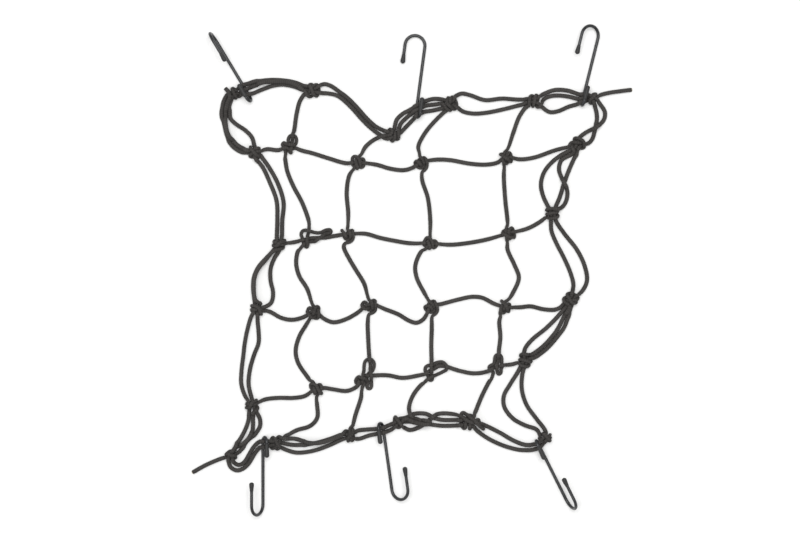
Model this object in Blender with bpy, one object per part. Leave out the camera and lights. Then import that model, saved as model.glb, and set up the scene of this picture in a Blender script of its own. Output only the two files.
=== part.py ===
"""Elastic cargo net with six wire hooks, lying loose and flat on its surface.

Frame: metres, +Z up, X to the right and Y away from the front edge of the net. The origin is at
the bottom centre of the whole object, so z = 0 is the surface that the net lies on.

How it is made: two border cords (a and b) run all the way round. A weft cord zigzags from side to
side, a warp cord from top to bottom, and between two rows or columns each runs along the border
as a third strand. Every row is tied to every column, and every row and column end is tied round
the border, so each knot is a swelling of the cord that is tied. Six wire hooks are threaded on the
border, each with two dipped tips.
"""

import math
from collections import namedtuple

import bpy
import bmesh
import numpy as np

# ---- driving dimensions, in millimetres ----------------------------------------------------------
MM = 0.001
MIDDLE = (-0.7, 0.7)     # the middle of the whole outline, in the tables' own X and Y
CORD_R = 2.15            # corner radius of the six-sided cord, about a 4 mm round one
CORD_SIDES = 6
FLAT = math.cos(math.pi / CORD_SIDES)    # height of a side over its corner radius
GAP = 0.35               # clear space between two pieces that touch
PASS = 2.45              # how far each border cord passes from a knot's centre
KNOT_R = 4.2             # corner radius of a tied knot
KNOT_HALF = 7.0          # from a knot's centre to the plain cord on each side
KNOT_Z = 8.6             # height of a tied cord's centre where it passes over the others
KNOT_END = 4.5           # how far a tied cord's end reaches past the knot's centre
STEP = 2.0               # spacing of the points on a route while it settles
SLACK = 0.95             # extra room while settling, which the straight facets then use up
SINK = 0.12              # how far the cords sink in each round of settling
ROUNDS = 260             # rounds of settling
CHORD = 0.38             # how far a facet may leave the smooth route
SHORTEST = 5.0           # the shortest facet along a cord
LONGEST = 26.0           # the longest facet along a cord

WIRE_R = 1.65            # hook wire
WIRE_SIDES = 8
EYE_STEPS = 5            # facets round the eye
BEND_STEPS = 7           # facets round the large bend
TIP_R = 2.4              # dipped tip, over the wire
HOOK_REACH = 100.5       # a hook's length and its free leg together: all take the same wire
HOOK_BEND_R = 10.0       # centreline radius of the large bend
HOOK_EYE_R = 5.2         # centreline radius of the eye
EYE_TIP = 14.0           # dipped length at the eye's return
EYE_RETURN = 20.0        # from the eye's end to the end of its tip
FREE_TIP = 9.0           # dipped length on the free leg

# ---- knots: name, place of the centre, and the direction that faces away from the net ------------
Knot = namedtuple("Knot", "x y out")
KNOTS = {
    "TL": Knot(-178, 177, 135), "T1": Knot(-98, 180, 90), "T2": Knot(-19, 135.5, 90),
    "T3": Knot(39, 167, 90), "T4": Knot(123, 170, 90), "TR": Knot(180, 172.5, 45),
    "R1": Knot(166, 126, 0), "R2": Knot(140, 58.5, 0), "R3": Knot(159.5, -28, 0),
    "R4": Knot(113.5, -89, -20), "BR": Knot(132, -167, -45),
    "B4": Knot(58, -151, -90), "B3": Knot(-12, -150, -90), "B2": Knot(-61.5, -164.5, -90),
    "B1": Knot(-137, -172, -90), "BL": Knot(-181, -184, 180),
    "L4": Knot(-160, -134, 180), "L3": Knot(-155, -38, 180), "L2": Knot(-133, 27, 180),
    "L1": Knot(-157, 118, 180),
    "K11": Knot(-122, 124, None), "K12": Knot(-55, 108, None), "K13": Knot(9, 108.5, None),
    "K14": Knot(93, 113.5, None),
    "K21": Knot(-106.5, 31.5, None), "K22": Knot(-64.5, 36.5, None), "K23": Knot(17.5, 27.5, None),
    "K24": Knot(96, 37.5, None),
    "K31": Knot(-97, -42, None), "K32": Knot(-42.5, -33.5, None), "K33": Knot(19.5, -35.5, None),
    "K34": Knot(92, -36, None),
    "K41": Knot(-97, -118, None), "K42": Knot(-48, -106, None), "K43": Knot(18.5, -102, None),
    "K44": Knot(85, -95, None),
}

# ---- border: side, from, to, and each cord's hand-chosen points between the two knots -------------
# A point is (x, y), or (x, y, n) where the cord rides over n others. Between TR and R1 the two
# border cords cross, so on the rest of the right side cord a is the inner one.
Span = namedtuple("Span", "side start end a b")
BORDER = (
    Span("top", "TL", "T1",
         ((-168, 186), (-155, 190), (-140, 192), (-127, 191), (-115, 188.5), (-105, 184.5)),
         ((-163, 176), (-150, 181), (-140, 184), (-130, 186), (-120, 185), (-110, 181))),
    Span("top", "T1", "T2",
         ((-88.5, 186.5), (-82, 185), (-75, 180.5), (-66, 173), (-56, 163.5), (-46, 152.5),
          (-37, 144.5), (-27, 139.5)),
         ((-91, 177.5), (-83, 177), (-75, 174.5), (-68, 169), (-59.5, 160), (-50.5, 149.5),
          (-41, 140.5), (-32, 134.5), (-26, 131.5))),
    Span("top", "T2", "T3",
         ((-17.5, 144), (-15.5, 151), (-8.5, 157.5), (-2, 160.5), (5, 165), (12, 169), (20, 171.5),
          (27.5, 171.5), (34, 170)),
         ((-12, 138), (-4, 146), (3, 153), (11.5, 158.5), (20, 160), (29, 162))),
    Span("top", "T3", "T4",
         ((43, 174), (49, 177), (57.5, 175.5), (72.5, 170.5), (89.5, 172), (106, 171)),
         ((44, 163.5), (51, 159), (61, 157), (75, 158), (92, 161.5), (108, 165.5))),
    Span("top", "T4", "TR",
         ((131, 176.5), (142, 180.5), (155, 180), (167.5, 176)),
         ((129, 164.5), (137, 159.5), (145, 160.5), (156, 165), (167.5, 167.5))),
    Span("right", "TR", "R1",
         ((188, 166), (192.5, 158.5), (191.5, 151), (184, 143.5, 1), (174, 138.5), (167, 133)),
         ((182.5, 164), (184.5, 153), (182.5, 141), (177, 131.5))),
    Span("right", "R1", "R2",
         ((158, 120), (143, 111.5), (132, 99), (128.5, 86), (131, 74), (135.5, 64.5)),
         ((163.5, 116), (158, 104), (152, 88.5), (147.5, 74), (143.5, 64.5))),
    Span("right", "R2", "R3",
         ((138.5, 50), (139, 40), (144, 27.5), (151.5, 13), (158, -2), (161, -14), (159.5, -22)),
         ((143.5, 50), (152, 37), (164.5, 21), (172.5, 4), (174.5, -10), (170, -20))),
    Span("right", "R3", "R4",
         ((155.5, -33), (145, -46), (133.5, -57.5), (120, -68.5), (113, -77), (111.5, -83)),
         ((158.5, -36), (156.5, -46), (152.5, -57), (144, -67.5), (134, -78), (124, -85))),
    Span("right", "R4", "BR",
         ((105.5, -101), (98, -113), (91.5, -125), (92, -136), (100.5, -147.5), (113, -154.5),
          (125, -158.5)),
         ((111, -99), (110.5, -117), (115.5, -133.5), (125, -147.5), (134, -160))),
    Span("bottom", "BR", "B4",
         ((125, -178.5), (111, -181), (95, -178), (77.5, -171), (64, -162.5)),
         ((122, -173.5), (114, -174.5), (102, -170.5), (88, -162.5), (74, -155.5))),
    Span("bottom", "B4", "B3",
         ((45.5, -154.5), (29, -156), (14.5, -155.5), (3, -154), (-4, -153)),
         ((45.5, -149), (29, -149.5), (16, -149.5), (5, -147.5), (-3, -146.5))),
    Span("bottom", "B3", "B2",
         ((-21.5, -159), (-33, -162.5), (-43, -164.5), (-54, -168)),
         ((-21.5, -153.5), (-33, -157.5), (-44, -158.5), (-54, -159.5))),
    Span("bottom", "B2", "B1",
         ((-70, -168.5), (-81, -173.5), (-92.5, -178), (-105, -181), (-117, -181.5), (-128, -178)),
         ((-70, -163.5), (-81, -167.5), (-92.5, -171), (-105, -173.5), (-118, -174), (-128, -172.5))),
    Span("bottom", "B1", "BL",
         ((-146, -175.5), (-152, -176.5), (-157, -182), (-162.5, -191), (-168, -197), (-175, -199.5),
          (-181.5, -196), (-183.5, -190)),
         ((-145, -170), (-152, -170.5), (-158, -175.5), (-163, -183.5), (-167.5, -191), (-173, -194),
          (-178, -191.5))),
    Span("left", "BL", "L4",
         ((-179, -180), (-175, -173), (-169, -163), (-165, -154), (-163, -146), (-163, -140)),
         ((-173, -181), (-165, -170), (-157, -163), (-152, -155), (-152.5, -147), (-156.5, -140))),
    Span("left", "L4", "L3",
         ((-168, -124), (-171.5, -113), (-171.5, -100), (-169.5, -85), (-168, -72), (-165, -58),
          (-161, -46)),
         ((-161, -125), (-163.5, -113), (-162, -98), (-158, -84), (-153.5, -72), (-153.5, -61),
          (-154.5, -48))),
    Span("left", "L3", "L2",
         ((-157.5, -30), (-159, -17), (-158, -6), (-153.5, 4), (-146, 12.5), (-139, 20)),
         ((-148, -36.5), (-141, -32), (-139, -22), (-141.5, -10), (-141.5, 2), (-138, 12),
          (-133, 20))),
    Span("left", "L2", "L1",
         ((-135.5, 34), (-135.5, 50), (-136.5, 70), (-143.5, 89), (-150, 103), (-157, 112)),
         ((-130.5, 34), (-130.5, 50), (-129.5, 68), (-134.5, 85), (-142, 100), (-151, 113))),
    Span("left", "L1", "TL",
         ((-163, 119), (-171.5, 120), (-179, 125), (-184.5, 134), (-188.5, 146), (-191, 158),
          (-189.5, 169), (-185, 176)),
         ((-157.5, 124), (-160, 133), (-167, 140.5), (-176, 146.5), (-182, 153), (-183, 163),
          (-180.5, 171))),
)

# ---- third strands along the border: node, from, to, points (x, y) -------------------------------
Run = namedtuple("Run", "name start end points")
RUNS = (
    Run("warp_run_1", "TL", "T1",
        ((-166, 181), (-157, 185.5), (-148, 188), (-138, 188.5), (-127, 188.5), (-117, 186))),
    Run("warp_run_2", "B1", "B2",
        ((-126, -167.5), (-116, -168), (-104, -171.5), (-92, -171.5), (-80, -168), (-71, -164))),
    Run("warp_run_3", "T2", "T3",
        ((-12, 146), (-5, 153.5), (3, 160), (12, 164.5), (22, 166), (30, 166.5))),
    Run("warp_run_4", "B3", "B4",
        ((-9, -156), (-2, -160), (7, -157), (15, -151.5), (22, -145.5), (30, -142.5), (40, -142.5),
         (48, -144))),
    Run("weft_run_1", "TL", "L1",
        ((-184, 168), (-187, 158), (-186.5, 149), (-184, 139), (-178, 130), (-171, 124),
         (-164, 121))),
    Run("weft_run_2", "R1", "R2",
        ((161, 118), (150, 112), (146.5, 102), (150, 91, 1.5), (155, 79), (152.5, 67), (146, 61.5))),
    Run("weft_run_3", "L2", "L3",
        ((-136.5, 20), (-145, 9), (-152, 0), (-155.5, -9), (-156, -19), (-155.5, -29))),
    Run("weft_run_4", "R3", "R4",
        ((157, -35.5), (151.5, -46), (146, -57), (138.5, -69), (129, -77.5), (120, -84))),
)

# ---- strands that end in a free tail: node, from, knot they are tied in, points, tail points ------
Tail = namedtuple("Tail", "name start knot points tail")
TAILS = (
    Tail("warp_run_5", "T4", "TR", ((133, 172.5), (143, 175), (156, 174), (168, 171.5)),
         ((189, 177.5), (198, 179), (208, 180), (219, 181.5))),
    Tail("weft_run_5", "L4", "BL", ((-159, -143), (-159, -152), (-160, -161), (-166, -170)),
         ((-189, -187), (-197, -190), (-207, -194.5), (-219.5, -201.5))),
)

# ---- rows and columns: node, knots in order, and the points (x, y) between each two --------------
Line = namedtuple("Line", "name knots spans")
ROWS = (
    Line("row_1", ("L1", "K11", "K12", "K13", "K14", "R1"),
         (((-145, 121.5), (-134, 120.5)), ((-110, 120), (-100, 117.5), (-82.5, 112), (-66.5, 107.5)),
          ((-36, 106), (-22, 102), (-8.5, 100.5), (0.5, 103)),
          ((24.5, 111), (38, 110.5), (57.5, 107), (73.5, 106), (85, 108)),
          ((108, 111.5), (122, 114), (143.5, 122)))),
    Line("row_2", ("L2", "K21", "K22", "K23", "K24", "R2"),
         (((-118, 28.5),), ((-95, 32.5), (-82.5, 34), (-73, 35.5)),
          ((-47, 37), (-32.5, 33), (-18, 30), (-2, 27.5)),
          ((38, 26), (57.5, 28), (75.5, 31.5)), ((114.5, 42), (127, 48.5)))),
    Line("row_3", ("L3", "K31", "K32", "K33", "K34", "R3"),
         (((-142, -41), (-131, -47), (-120, -49), (-109, -46.5)),
          ((-88, -48), (-79, -51.5), (-66.5, -48.5), (-55.5, -42.5)),
          ((-25.5, -39), (-13, -44), (-4, -49.5), (4, -52), (11, -48.5)),
          ((30, -33), (47, -28.5), (60, -26), (70, -27), (82, -33)),
          ((107.5, -36.5), (118, -35.5), (131.5, -38.5), (144, -38.5)))),
    Line("row_4", ("L4", "K41", "K42", "K43", "K44", "R4"),
         (((-147, -128.5), (-134, -127), (-118, -127), (-107, -125)),
          ((-88, -117), (-78.5, -118.5), (-65, -120), (-56, -116)),
          ((-36, -104.5), (-24, -104.5), (-10, -107), (4, -105)),
          ((33, -98.5), (47.5, -100), (62, -102.5), (75, -100.5)), ((99.5, -93.5),))),
)
COLUMNS = (
    Line("column_1", ("T1", "K11", "K21", "K31", "K41", "B1"),
         (((-106, 178), (-112, 170), (-115.5, 157), (-118, 140)),
          ((-127, 112), (-125, 100), (-119, 85), (-110, 68), (-104, 52)),
          ((-114, 20), (-116, 8), (-113, -5), (-105, -18)),
          ((-106, -54), (-113, -66), (-116.5, -80), (-114, -92), (-104, -107)),
          ((-95, -135), (-95, -147), (-102, -155), (-116, -159.5)))),
    Line("column_2", ("T2", "K12", "K22", "K32", "K42", "B2"),
         (((-29, 134.5, 1.4), (-38, 131, 0.6), (-47, 123.5)), ((-63, 95), (-65.5, 78.5), (-64, 58)),
          ((-68.5, 24), (-63, 12), (-55.5, -0.5), (-48, -13)), ((-44.5, -52), (-44, -68), (-43, -85)),
          ((-51, -126), (-57, -145)))),
    Line("column_3", ("T3", "K13", "K23", "K33", "K43", "B3"),
         (((34.5, 161), (24.5, 151.5), (13, 138), (6, 124)), ((10, 90), (15.5, 73), (18, 50)),
          ((8, 18), (3, 5), (4.5, -7), (12, -22)), ((19.5, -56.5), (19, -75), (19.3, -90)),
          ((10, -113), (1, -124), (-3.5, -136)))),
    Line("column_4", ("T4", "K14", "K24", "K34", "K44", "B4"),
         (((115, 165), (108, 155), (101.5, 138)), ((91.5, 95), (93, 70), (95, 52)),
          ((95, 22), (102, 6), (106.5, -7), (100, -23)), ((87, -50), (88, -66), (86.5, -80)),
          ((78, -109), (70, -124), (63, -141)))),
)

# ---- bights that stick out of a knot: node, place of the middle, corner radius, half length -------
Bight = namedtuple("Bight", "node x y radius half")
BIGHTS = (
    Bight("row_2", -89, 33, 3.0, 6.5), Bight("column_2", -44, -94, 3.4, 9.0),
    Bight("row_4", 29, -98.5, 3.3, 8.0), Bight("column_4", 86, -86, 3.6, 7.0),
    Bight("column_4", 56, -150, 4.2, 9.0),
)

# ---- hooks: place of the eye's end, heading of the shank, length from the eye's end to the crown of
# ---- the bend, roll of the bend, side of the free leg, and how far the eye leans from upright ------
Hook = namedtuple("Hook", "name x y heading length roll side lean")
HOOKS = (
    Hook("hook_1", -160, 170, 121, 77.5, 84, 1, -18), Hook("hook_2", 3.2, 153.2, 82.4, 81, 5, 1, 24),
    Hook("hook_3", 168.8, 165, 76, 79, 30, 1, 6), Hook("hook_4", -149.2, -166, -90, 77, 60, -1, 26),
    Hook("hook_5", -29.8, -151.8, -82, 78, 37, 1, 26), Hook("hook_6", 124, -169, -63.5, 77, 71, 1, 8),
)


# ---- routes --------------------------------------------------------------------------------------
def resample(points, step):
    """Points a step apart on a centripetal Catmull-Rom curve through the given ones."""
    p = np.asarray(points, float)
    p = np.vstack([2 * p[0] - p[1], p, 2 * p[-1] - p[-2]])
    knot = np.concatenate([[0], np.cumsum(np.sqrt(np.linalg.norm(np.diff(p, axis=0), axis=1)))])
    dense = []
    for i in range(1, len(p) - 2):
        t = np.linspace(knot[i], knot[i + 1], 24, endpoint=False)[:, None]
        t0, t1, t2, t3 = knot[i - 1:i + 3]
        a1 = (t1 - t) / (t1 - t0) * p[i - 1] + (t - t0) / (t1 - t0) * p[i]
        a2 = (t2 - t) / (t2 - t1) * p[i] + (t - t1) / (t2 - t1) * p[i + 1]
        a3 = (t3 - t) / (t3 - t2) * p[i + 1] + (t - t2) / (t3 - t2) * p[i + 2]
        b1 = (t2 - t) / (t2 - t0) * a1 + (t - t0) / (t2 - t0) * a2
        b2 = (t3 - t) / (t3 - t1) * a2 + (t - t1) / (t3 - t1) * a3
        dense.append((t2 - t) / (t2 - t1) * b1 + (t - t1) / (t2 - t1) * b2)
    dense = np.vstack(dense + [p[-2:-1]])
    along = np.concatenate([[0], np.cumsum(np.linalg.norm(np.diff(dense, axis=0), axis=1))])
    count = max(2, round(along[-1] / step) + 1)
    at = np.linspace(0, along[-1], count)
    return np.column_stack([np.interp(at, along, dense[:, k]) for k in range(dense.shape[1])])


def knot_point(name, offset=0.0, height=CORD_R * FLAT):
    """The centre of a knot, moved outwards by the offset, at a height."""
    knot = KNOTS[name]
    out = math.radians(knot.out or 0)
    return (knot.x + offset * math.cos(out), knot.y + offset * math.sin(out), height)


def laid(points, over=0):
    """The points at the height of a cord that lies on the surface, or over some others."""
    height = CORD_R * FLAT
    return [(p[0], p[1], height + 2 * CORD_R * (p[2] if len(p) > 2 else over)) for p in points]


def beyond(centre, towards, reach):
    """The point on the far side of the centre from another one."""
    dx, dy = centre[0] - towards[0], centre[1] - towards[1]
    length = math.hypot(dx, dy)
    return (centre[0] + dx / length * reach, centre[1] + dy / length * reach, centre[2])


def border_routes():
    """Each border cord, one route for each side, from corner knot to corner knot."""
    routes = {}
    for side in ("top", "right", "bottom", "left"):
        for cord, outer in (("a", 1), ("b", -1)):
            points, sign = [], outer
            for span in BORDER:
                if span.side == side:
                    points.append(knot_point(span.start, sign * PASS))
                    points += laid(span.a if cord == "a" else span.b)
                    last = span.end
                    sign = -outer if side == "right" else outer
            points.append(knot_point(last, sign * PASS))
            routes[f"border_{cord}_{side}"] = points
    over = knot_point("BR", 0, KNOT_Z)
    first = routes["border_a_bottom"][1]
    routes["border_a_bottom"][0:1] = [beyond(over, first, KNOT_END), over]
    return routes


def run_routes():
    """The third strands, laid on the two border cords, and the two that end in a tail."""
    routes = {}
    for run in RUNS:
        routes[run.name] = laid(run.points, 1)
    over = knot_point("TL", 0, KNOT_Z)
    first = routes["warp_run_1"][0]
    routes["warp_run_1"][0:0] = [beyond(over, first, KNOT_END), over]
    for strand in TAILS:
        routes[strand.name] = (laid(strand.points, 1) + [knot_point(strand.knot, 0, KNOT_Z)]
                               + laid(strand.tail))
    return routes


def line_routes():
    """Rows pass under the columns. Both are tied over the border cords at their ends."""
    routes = {}
    for lines, height in ((ROWS, CORD_R * FLAT), (COLUMNS, KNOT_Z)):
        for line in lines:
            points = []
            for i, name in enumerate(line.knots):
                at_border = i in (0, len(line.knots) - 1)
                points.append(knot_point(name, 0, KNOT_Z if at_border else height))
                if i < len(line.spans):
                    points += laid(line.spans[i])
            points.insert(0, beyond(points[0], points[1], KNOT_END))
            points.append(beyond(points[-1], points[-2], KNOT_END))
            routes[line.name] = points
    return routes


def swellings(name):
    """The knots and bights that a cord is swollen at: (x, y, radius, half length)."""
    spots = []
    for line in ROWS:
        if line.name == name:
            spots += [(KNOTS[k].x, KNOTS[k].y, KNOT_R, KNOT_HALF)
                      for k in (line.knots[0], line.knots[-1])]
    for line in COLUMNS:
        if line.name == name:
            spots += [(KNOTS[k].x, KNOTS[k].y, KNOT_R, KNOT_HALF) for k in line.knots]
    for node, knot in (("border_a_bottom", "BR"), ("warp_run_1", "TL"), ("warp_run_5", "TR"),
                       ("weft_run_5", "BL")):
        if node == name:
            spots.append((KNOTS[knot].x, KNOTS[knot].y, KNOT_R, KNOT_HALF))
    spots += [(b.x, b.y, b.radius, b.half) for b in BIGHTS if b.node == name]
    return spots


def radii(name, route):
    """The corner radius at each point: plain cord, rising smoothly into each swelling."""
    radius = np.full(len(route), CORD_R)
    for x, y, top, half in swellings(name):
        away = np.clip(np.hypot(route[:, 0] - x, route[:, 1] - y) / half, 0, 1)
        rise = 1 - away ** 2 * (3 - 2 * away)
        radius = np.maximum(radius, CORD_R + (top - CORD_R) * np.clip(1.35 * rise, 0, 1))
    return radius


def settle(routes, fixed):
    """Let the cords settle: they sink, rest on the surface, and push each other apart.

    Every cord is a row of balls. Each round lowers them a little, pushes apart any two from
    different cords that are closer than their radii and the gap, evens the pushes out along each
    cord, and lifts whatever is below the surface. Fixed balls, the hooks', don't move.
    """
    names = list(routes)
    start = np.vstack([routes[n] for n in names] + [fixed[:, :3]])
    owner = np.concatenate([np.full(len(routes[n]), i) for i, n in enumerate(names)]
                           + [np.full(len(fixed), -1)])
    size = np.concatenate([radii(n, routes[n]) for n in names] + [fixed[:, 3]])
    loose = (owner >= 0).astype(float)
    place = start.copy()
    joined = (owner[1:] == owner[:-1]) & (owner[1:] >= 0)
    reach = 2 * KNOT_R + GAP + 4
    floor = np.where(size > 1.05 * CORD_R, size + SLACK / 3, size * FLAT)
    for turn in range(ROUNDS):
        if turn % 20 == 0:
            order = np.argsort(place[:, 0])
            xs = place[order, 0]
            ends = np.searchsorted(xs, xs + reach, side="right")
            first = np.repeat(np.arange(len(xs)), ends - np.arange(len(xs)) - 1)
            second = np.concatenate([np.arange(i + 1, e) for i, e in enumerate(ends)])
            i, j = order[first], order[second]
            keep = (owner[i] != owner[j]) & (np.abs(place[i, 1] - place[j, 1]) < reach)
            i, j = i[keep], j[keep]
            apart = size[i] + size[j] + GAP + SLACK
        place[:, 2] -= SINK * loose
        for _ in range(3):
            line = place[i] - place[j]
            far = np.linalg.norm(line, axis=1)
            push = np.clip(apart - far, 0, None)
            hit = push > 0
            unit = line[hit] / np.maximum(far[hit], 1e-6)[:, None]
            share = loose[i[hit]] / np.maximum(loose[i[hit]] + loose[j[hit]], 1)
            move = np.zeros_like(place)
            count = np.zeros(len(place))
            np.add.at(move, i[hit], unit * (push[hit] * share)[:, None])
            np.add.at(move, j[hit], -unit * (push[hit] * (loose[j[hit]] > 0) * (1 - share))[:, None])
            np.add.at(count, i[hit], 1)
            np.add.at(count, j[hit], 1)
            place += move / np.maximum(count, 1)[:, None] * 1.3
        shift = place - start
        spread = np.zeros_like(shift)
        near = np.zeros(len(shift))
        spread[1:][joined] += shift[:-1][joined]
        near[1:][joined] += 1
        spread[:-1][joined] += shift[1:][joined]
        near[:-1][joined] += 1
        even = spread / np.maximum(near, 1)[:, None]
        ease = np.where((near == 2)[:, None], 0.5, 0.0) * loose[:, None]
        place = start + shift * (1 - ease) + even * ease
        place[:, 2] = np.where(loose > 0, np.maximum(place[:, 2], floor), place[:, 2])
    settled, at = {}, 0
    for n in names:
        settled[n] = place[at:at + len(routes[n])]
        at += len(routes[n])
    return settled


def thin_out(route, radius):
    """Keep only the points that the facets need: the chord stays close in place and in radius."""
    keep, i, least = [0], 0, int(SHORTEST / STEP)
    while i < len(route) - 1:
        best = min(i + least, len(route) - 1)
        for j in range(best + 1, min(len(route), i + 1 + int(LONGEST / STEP))):
            t = np.linspace(0, 1, j - i + 1)[:, None]
            chord = route[i] * (1 - t) + route[j] * t
            off = np.linalg.norm(route[i:j + 1] - chord, axis=1).max()
            fat = np.abs(radius[i:j + 1] - (radius[i] * (1 - t[:, 0]) + radius[j] * t[:, 0])).max()
            if off > CHORD or fat > 2 * CHORD:
                break
            best = j
        if len(route) - 1 - best < least:
            best = len(route) - 1
        keep.append(best)
        i = best
    return np.array(keep)


# ---- hooks ---------------------------------------------------------------------------------------
def hook_axes(hook):
    """The directions along the shank, towards the free leg, and up the leaning eye."""
    a, roll, lean = (math.radians(v) for v in (hook.heading, hook.roll, hook.lean))
    along = np.array([math.cos(a), math.sin(a), 0])
    left = np.array([-math.sin(a), math.cos(a), 0]) * hook.side
    up = np.array([0, 0, 1.0])
    free = left * math.cos(roll) + up * math.sin(roll)
    rise = -left * math.sin(lean) + up * math.cos(lean)
    return along, free, rise


def hook_parts(hook):
    """Centre points and radii of the wire and its two tips, from the free leg to the eye."""
    along, free, rise = hook_axes(hook)
    base = np.array([hook.x, hook.y, WIRE_R]) + along * HOOK_EYE_R
    crown = hook.length - HOOK_EYE_R - HOOK_BEND_R
    tip_start = EYE_RETURN - HOOK_EYE_R - EYE_TIP
    eye = [base + rise * 2 * HOOK_EYE_R + along * tip_start]
    for k in range(EYE_STEPS + 1):
        a = math.pi * k / EYE_STEPS
        eye.append(base + rise * HOOK_EYE_R * (1 + math.cos(a)) - along * HOOK_EYE_R * math.sin(a))
    bend = []
    for k in range(BEND_STEPS + 1):
        a = math.pi * k / BEND_STEPS
        bend.append(base + along * (crown + HOOK_BEND_R * math.sin(a))
                    + free * HOOK_BEND_R * (1 - math.cos(a)))
    leg_end = base + free * 2 * HOOK_BEND_R + along * (crown - (HOOK_REACH - hook.length))
    leg_tip = leg_end + along * FREE_TIP
    wire = np.array(eye + [base + along * 22] + bend + [leg_tip + along * 0.3])
    eye_start = eye[0] + along * 0.3
    eye_end = base + rise * 2 * HOOK_EYE_R + along * (EYE_RETURN - HOOK_EYE_R)

    def capsule(start, end):
        """A tip: a short round shoulder, an even length, and a rounded end."""
        way = (end - start) / np.linalg.norm(end - start)
        places = [start, start + way * 1.2, end - way * 1.4, end]
        return np.array(places), np.array([WIRE_R, TIP_R, TIP_R, 0.55 * TIP_R])

    return {"wire": (wire[::-1], np.full(len(wire), WIRE_R)),
            "eye_tip": capsule(eye_start, eye_end), "hook_tip": capsule(leg_tip, leg_end)}


def hook_balls():
    """The hooks as balls 1.5 mm apart, for the cords to settle round."""
    balls = []
    for hook in HOOKS:
        for points, radius in hook_parts(hook).values():
            for k in range(len(points) - 1):
                count = max(1, int(np.linalg.norm(points[k + 1] - points[k]) / 1.5))
                for t in np.arange(count) / count:
                    here = points[k] * (1 - t) + points[k + 1] * t
                    balls.append((*here, radius[k] * (1 - t) + radius[k + 1] * t))
    return np.array(balls)


def lift_over_hooks(route):
    """Start the border cords above the shanks that they pass over."""
    for hook in HOOKS:
        along, _, _ = hook_axes(hook)
        here = route[:, :2] - np.array([hook.x, hook.y])
        on = here @ along[:2]
        off = np.abs(here @ np.array([-along[1], along[0]]))
        beside = np.clip(1 - np.clip(off - 3, 0, None) / 16, 0, 1)
        inside = np.clip(1 - np.clip(np.abs(on - 10) - 9, 0, None) / 4, 0, 1)
        height = 2 * WIRE_R + GAP + CORD_R
        route[:, 2] = np.maximum(route[:, 2], (height - CORD_R * FLAT) * beside * inside
                                 + CORD_R * FLAT)
    return route


# ---- making the objects --------------------------------------------------------------------------
def material(name, colour, roughness, metallic=0.0):
    """A plain Principled material."""
    made = bpy.data.materials.new(name)
    made.use_nodes = True
    shader = made.node_tree.nodes["Principled BSDF"]
    shader.inputs["Base Color"].default_value = (*colour, 1.0)
    shader.inputs["Roughness"].default_value = roughness
    shader.inputs["Metallic"].default_value = metallic
    return made


def put(name, data):
    """A new object for the data, moved so that the middle of the whole outline is at X = Y = 0."""
    made = bpy.data.objects.new(name, data)
    made.location = (-MIDDLE[0] * MM, -MIDDLE[1] * MM, 0)
    bpy.context.scene.collection.objects.link(made)
    return made


def make_cord(name, route, finish):
    """One cord piece: a curve with a six-sided bevel, swollen at its knots, a flat side down."""
    radius = radii(name, route)
    keep = thin_out(route, radius)
    curve = bpy.data.curves.new(name, "CURVE")
    curve.dimensions = "3D"
    curve.twist_mode = "Z_UP"
    curve.bevel_depth = CORD_R * MM
    curve.bevel_resolution = 1
    curve.use_fill_caps = True
    curve.resolution_u = 1
    spline = curve.splines.new("POLY")
    spline.points.add(len(keep) - 1)
    for point, k in zip(spline.points, keep):
        point.co = (*(route[k] * MM), 1.0)
        point.radius = radius[k] / CORD_R
    curve.materials.append(finish)
    return put(name, curve)


def make_rod(name, points, radius, side, finish):
    """A rod along the points: rings carried without twist, bridged, and closed at both ends.

    Two of its flat sides face along the side direction where the rod starts.
    """
    mesh = bmesh.new()
    ways = np.gradient(points, axis=0)
    ways /= np.linalg.norm(ways, axis=1)[:, None]
    rings = []
    for centre, way, size in zip(points, ways, radius):
        side = side - way * np.dot(side, way)
        side /= np.linalg.norm(side)
        up = np.cross(side, way)
        ring = []
        for k in range(WIRE_SIDES):
            a = 2 * math.pi * (k + 0.5) / WIRE_SIDES
            ring.append(mesh.verts.new((centre + size * (side * math.cos(a) + up * math.sin(a))) * MM))
        rings.append(ring)
    for near, far in zip(rings, rings[1:]):
        for k in range(WIRE_SIDES):
            n = (k + 1) % WIRE_SIDES
            mesh.faces.new((near[k], near[n], far[n], far[k]))
    mesh.faces.new(list(reversed(rings[0])))
    mesh.faces.new(rings[-1])
    bmesh.ops.recalc_face_normals(mesh, faces=mesh.faces)
    data = bpy.data.meshes.new(name)
    mesh.to_mesh(data)
    mesh.free()
    data.shade_smooth()
    data.set_sharp_from_angle(angle=math.radians(50))
    data.materials.append(finish)
    return put(name, data)


def settled_routes():
    """All cord routes after they have settled round the hooks and each other."""
    routes = {**border_routes(), **run_routes(), **line_routes()}
    for name, points in routes.items():
        routes[name] = lift_over_hooks(resample(points, STEP))
    return settle(routes, hook_balls())


def main():
    """Clear the scene and make the cords and the hooks."""
    for old in list(bpy.data.objects):
        bpy.data.objects.remove(old, do_unlink=True)
    cord = material("elastic_cord", (0.045, 0.042, 0.039), 0.75)
    wire = material("coated_wire", (0.05, 0.052, 0.056), 0.35, 0.3)
    tip = material("dipped_tip", (0.04, 0.04, 0.042), 0.5)
    for name, route in settled_routes().items():
        make_cord(name, route, cord)
    for hook in HOOKS:
        along, free, _ = hook_axes(hook)
        for part, (points, radius) in hook_parts(hook).items():
            make_rod(f"{hook.name}_{part}", points, radius, np.cross(along, free),
                     wire if part == "wire" else tip)


main()
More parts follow.
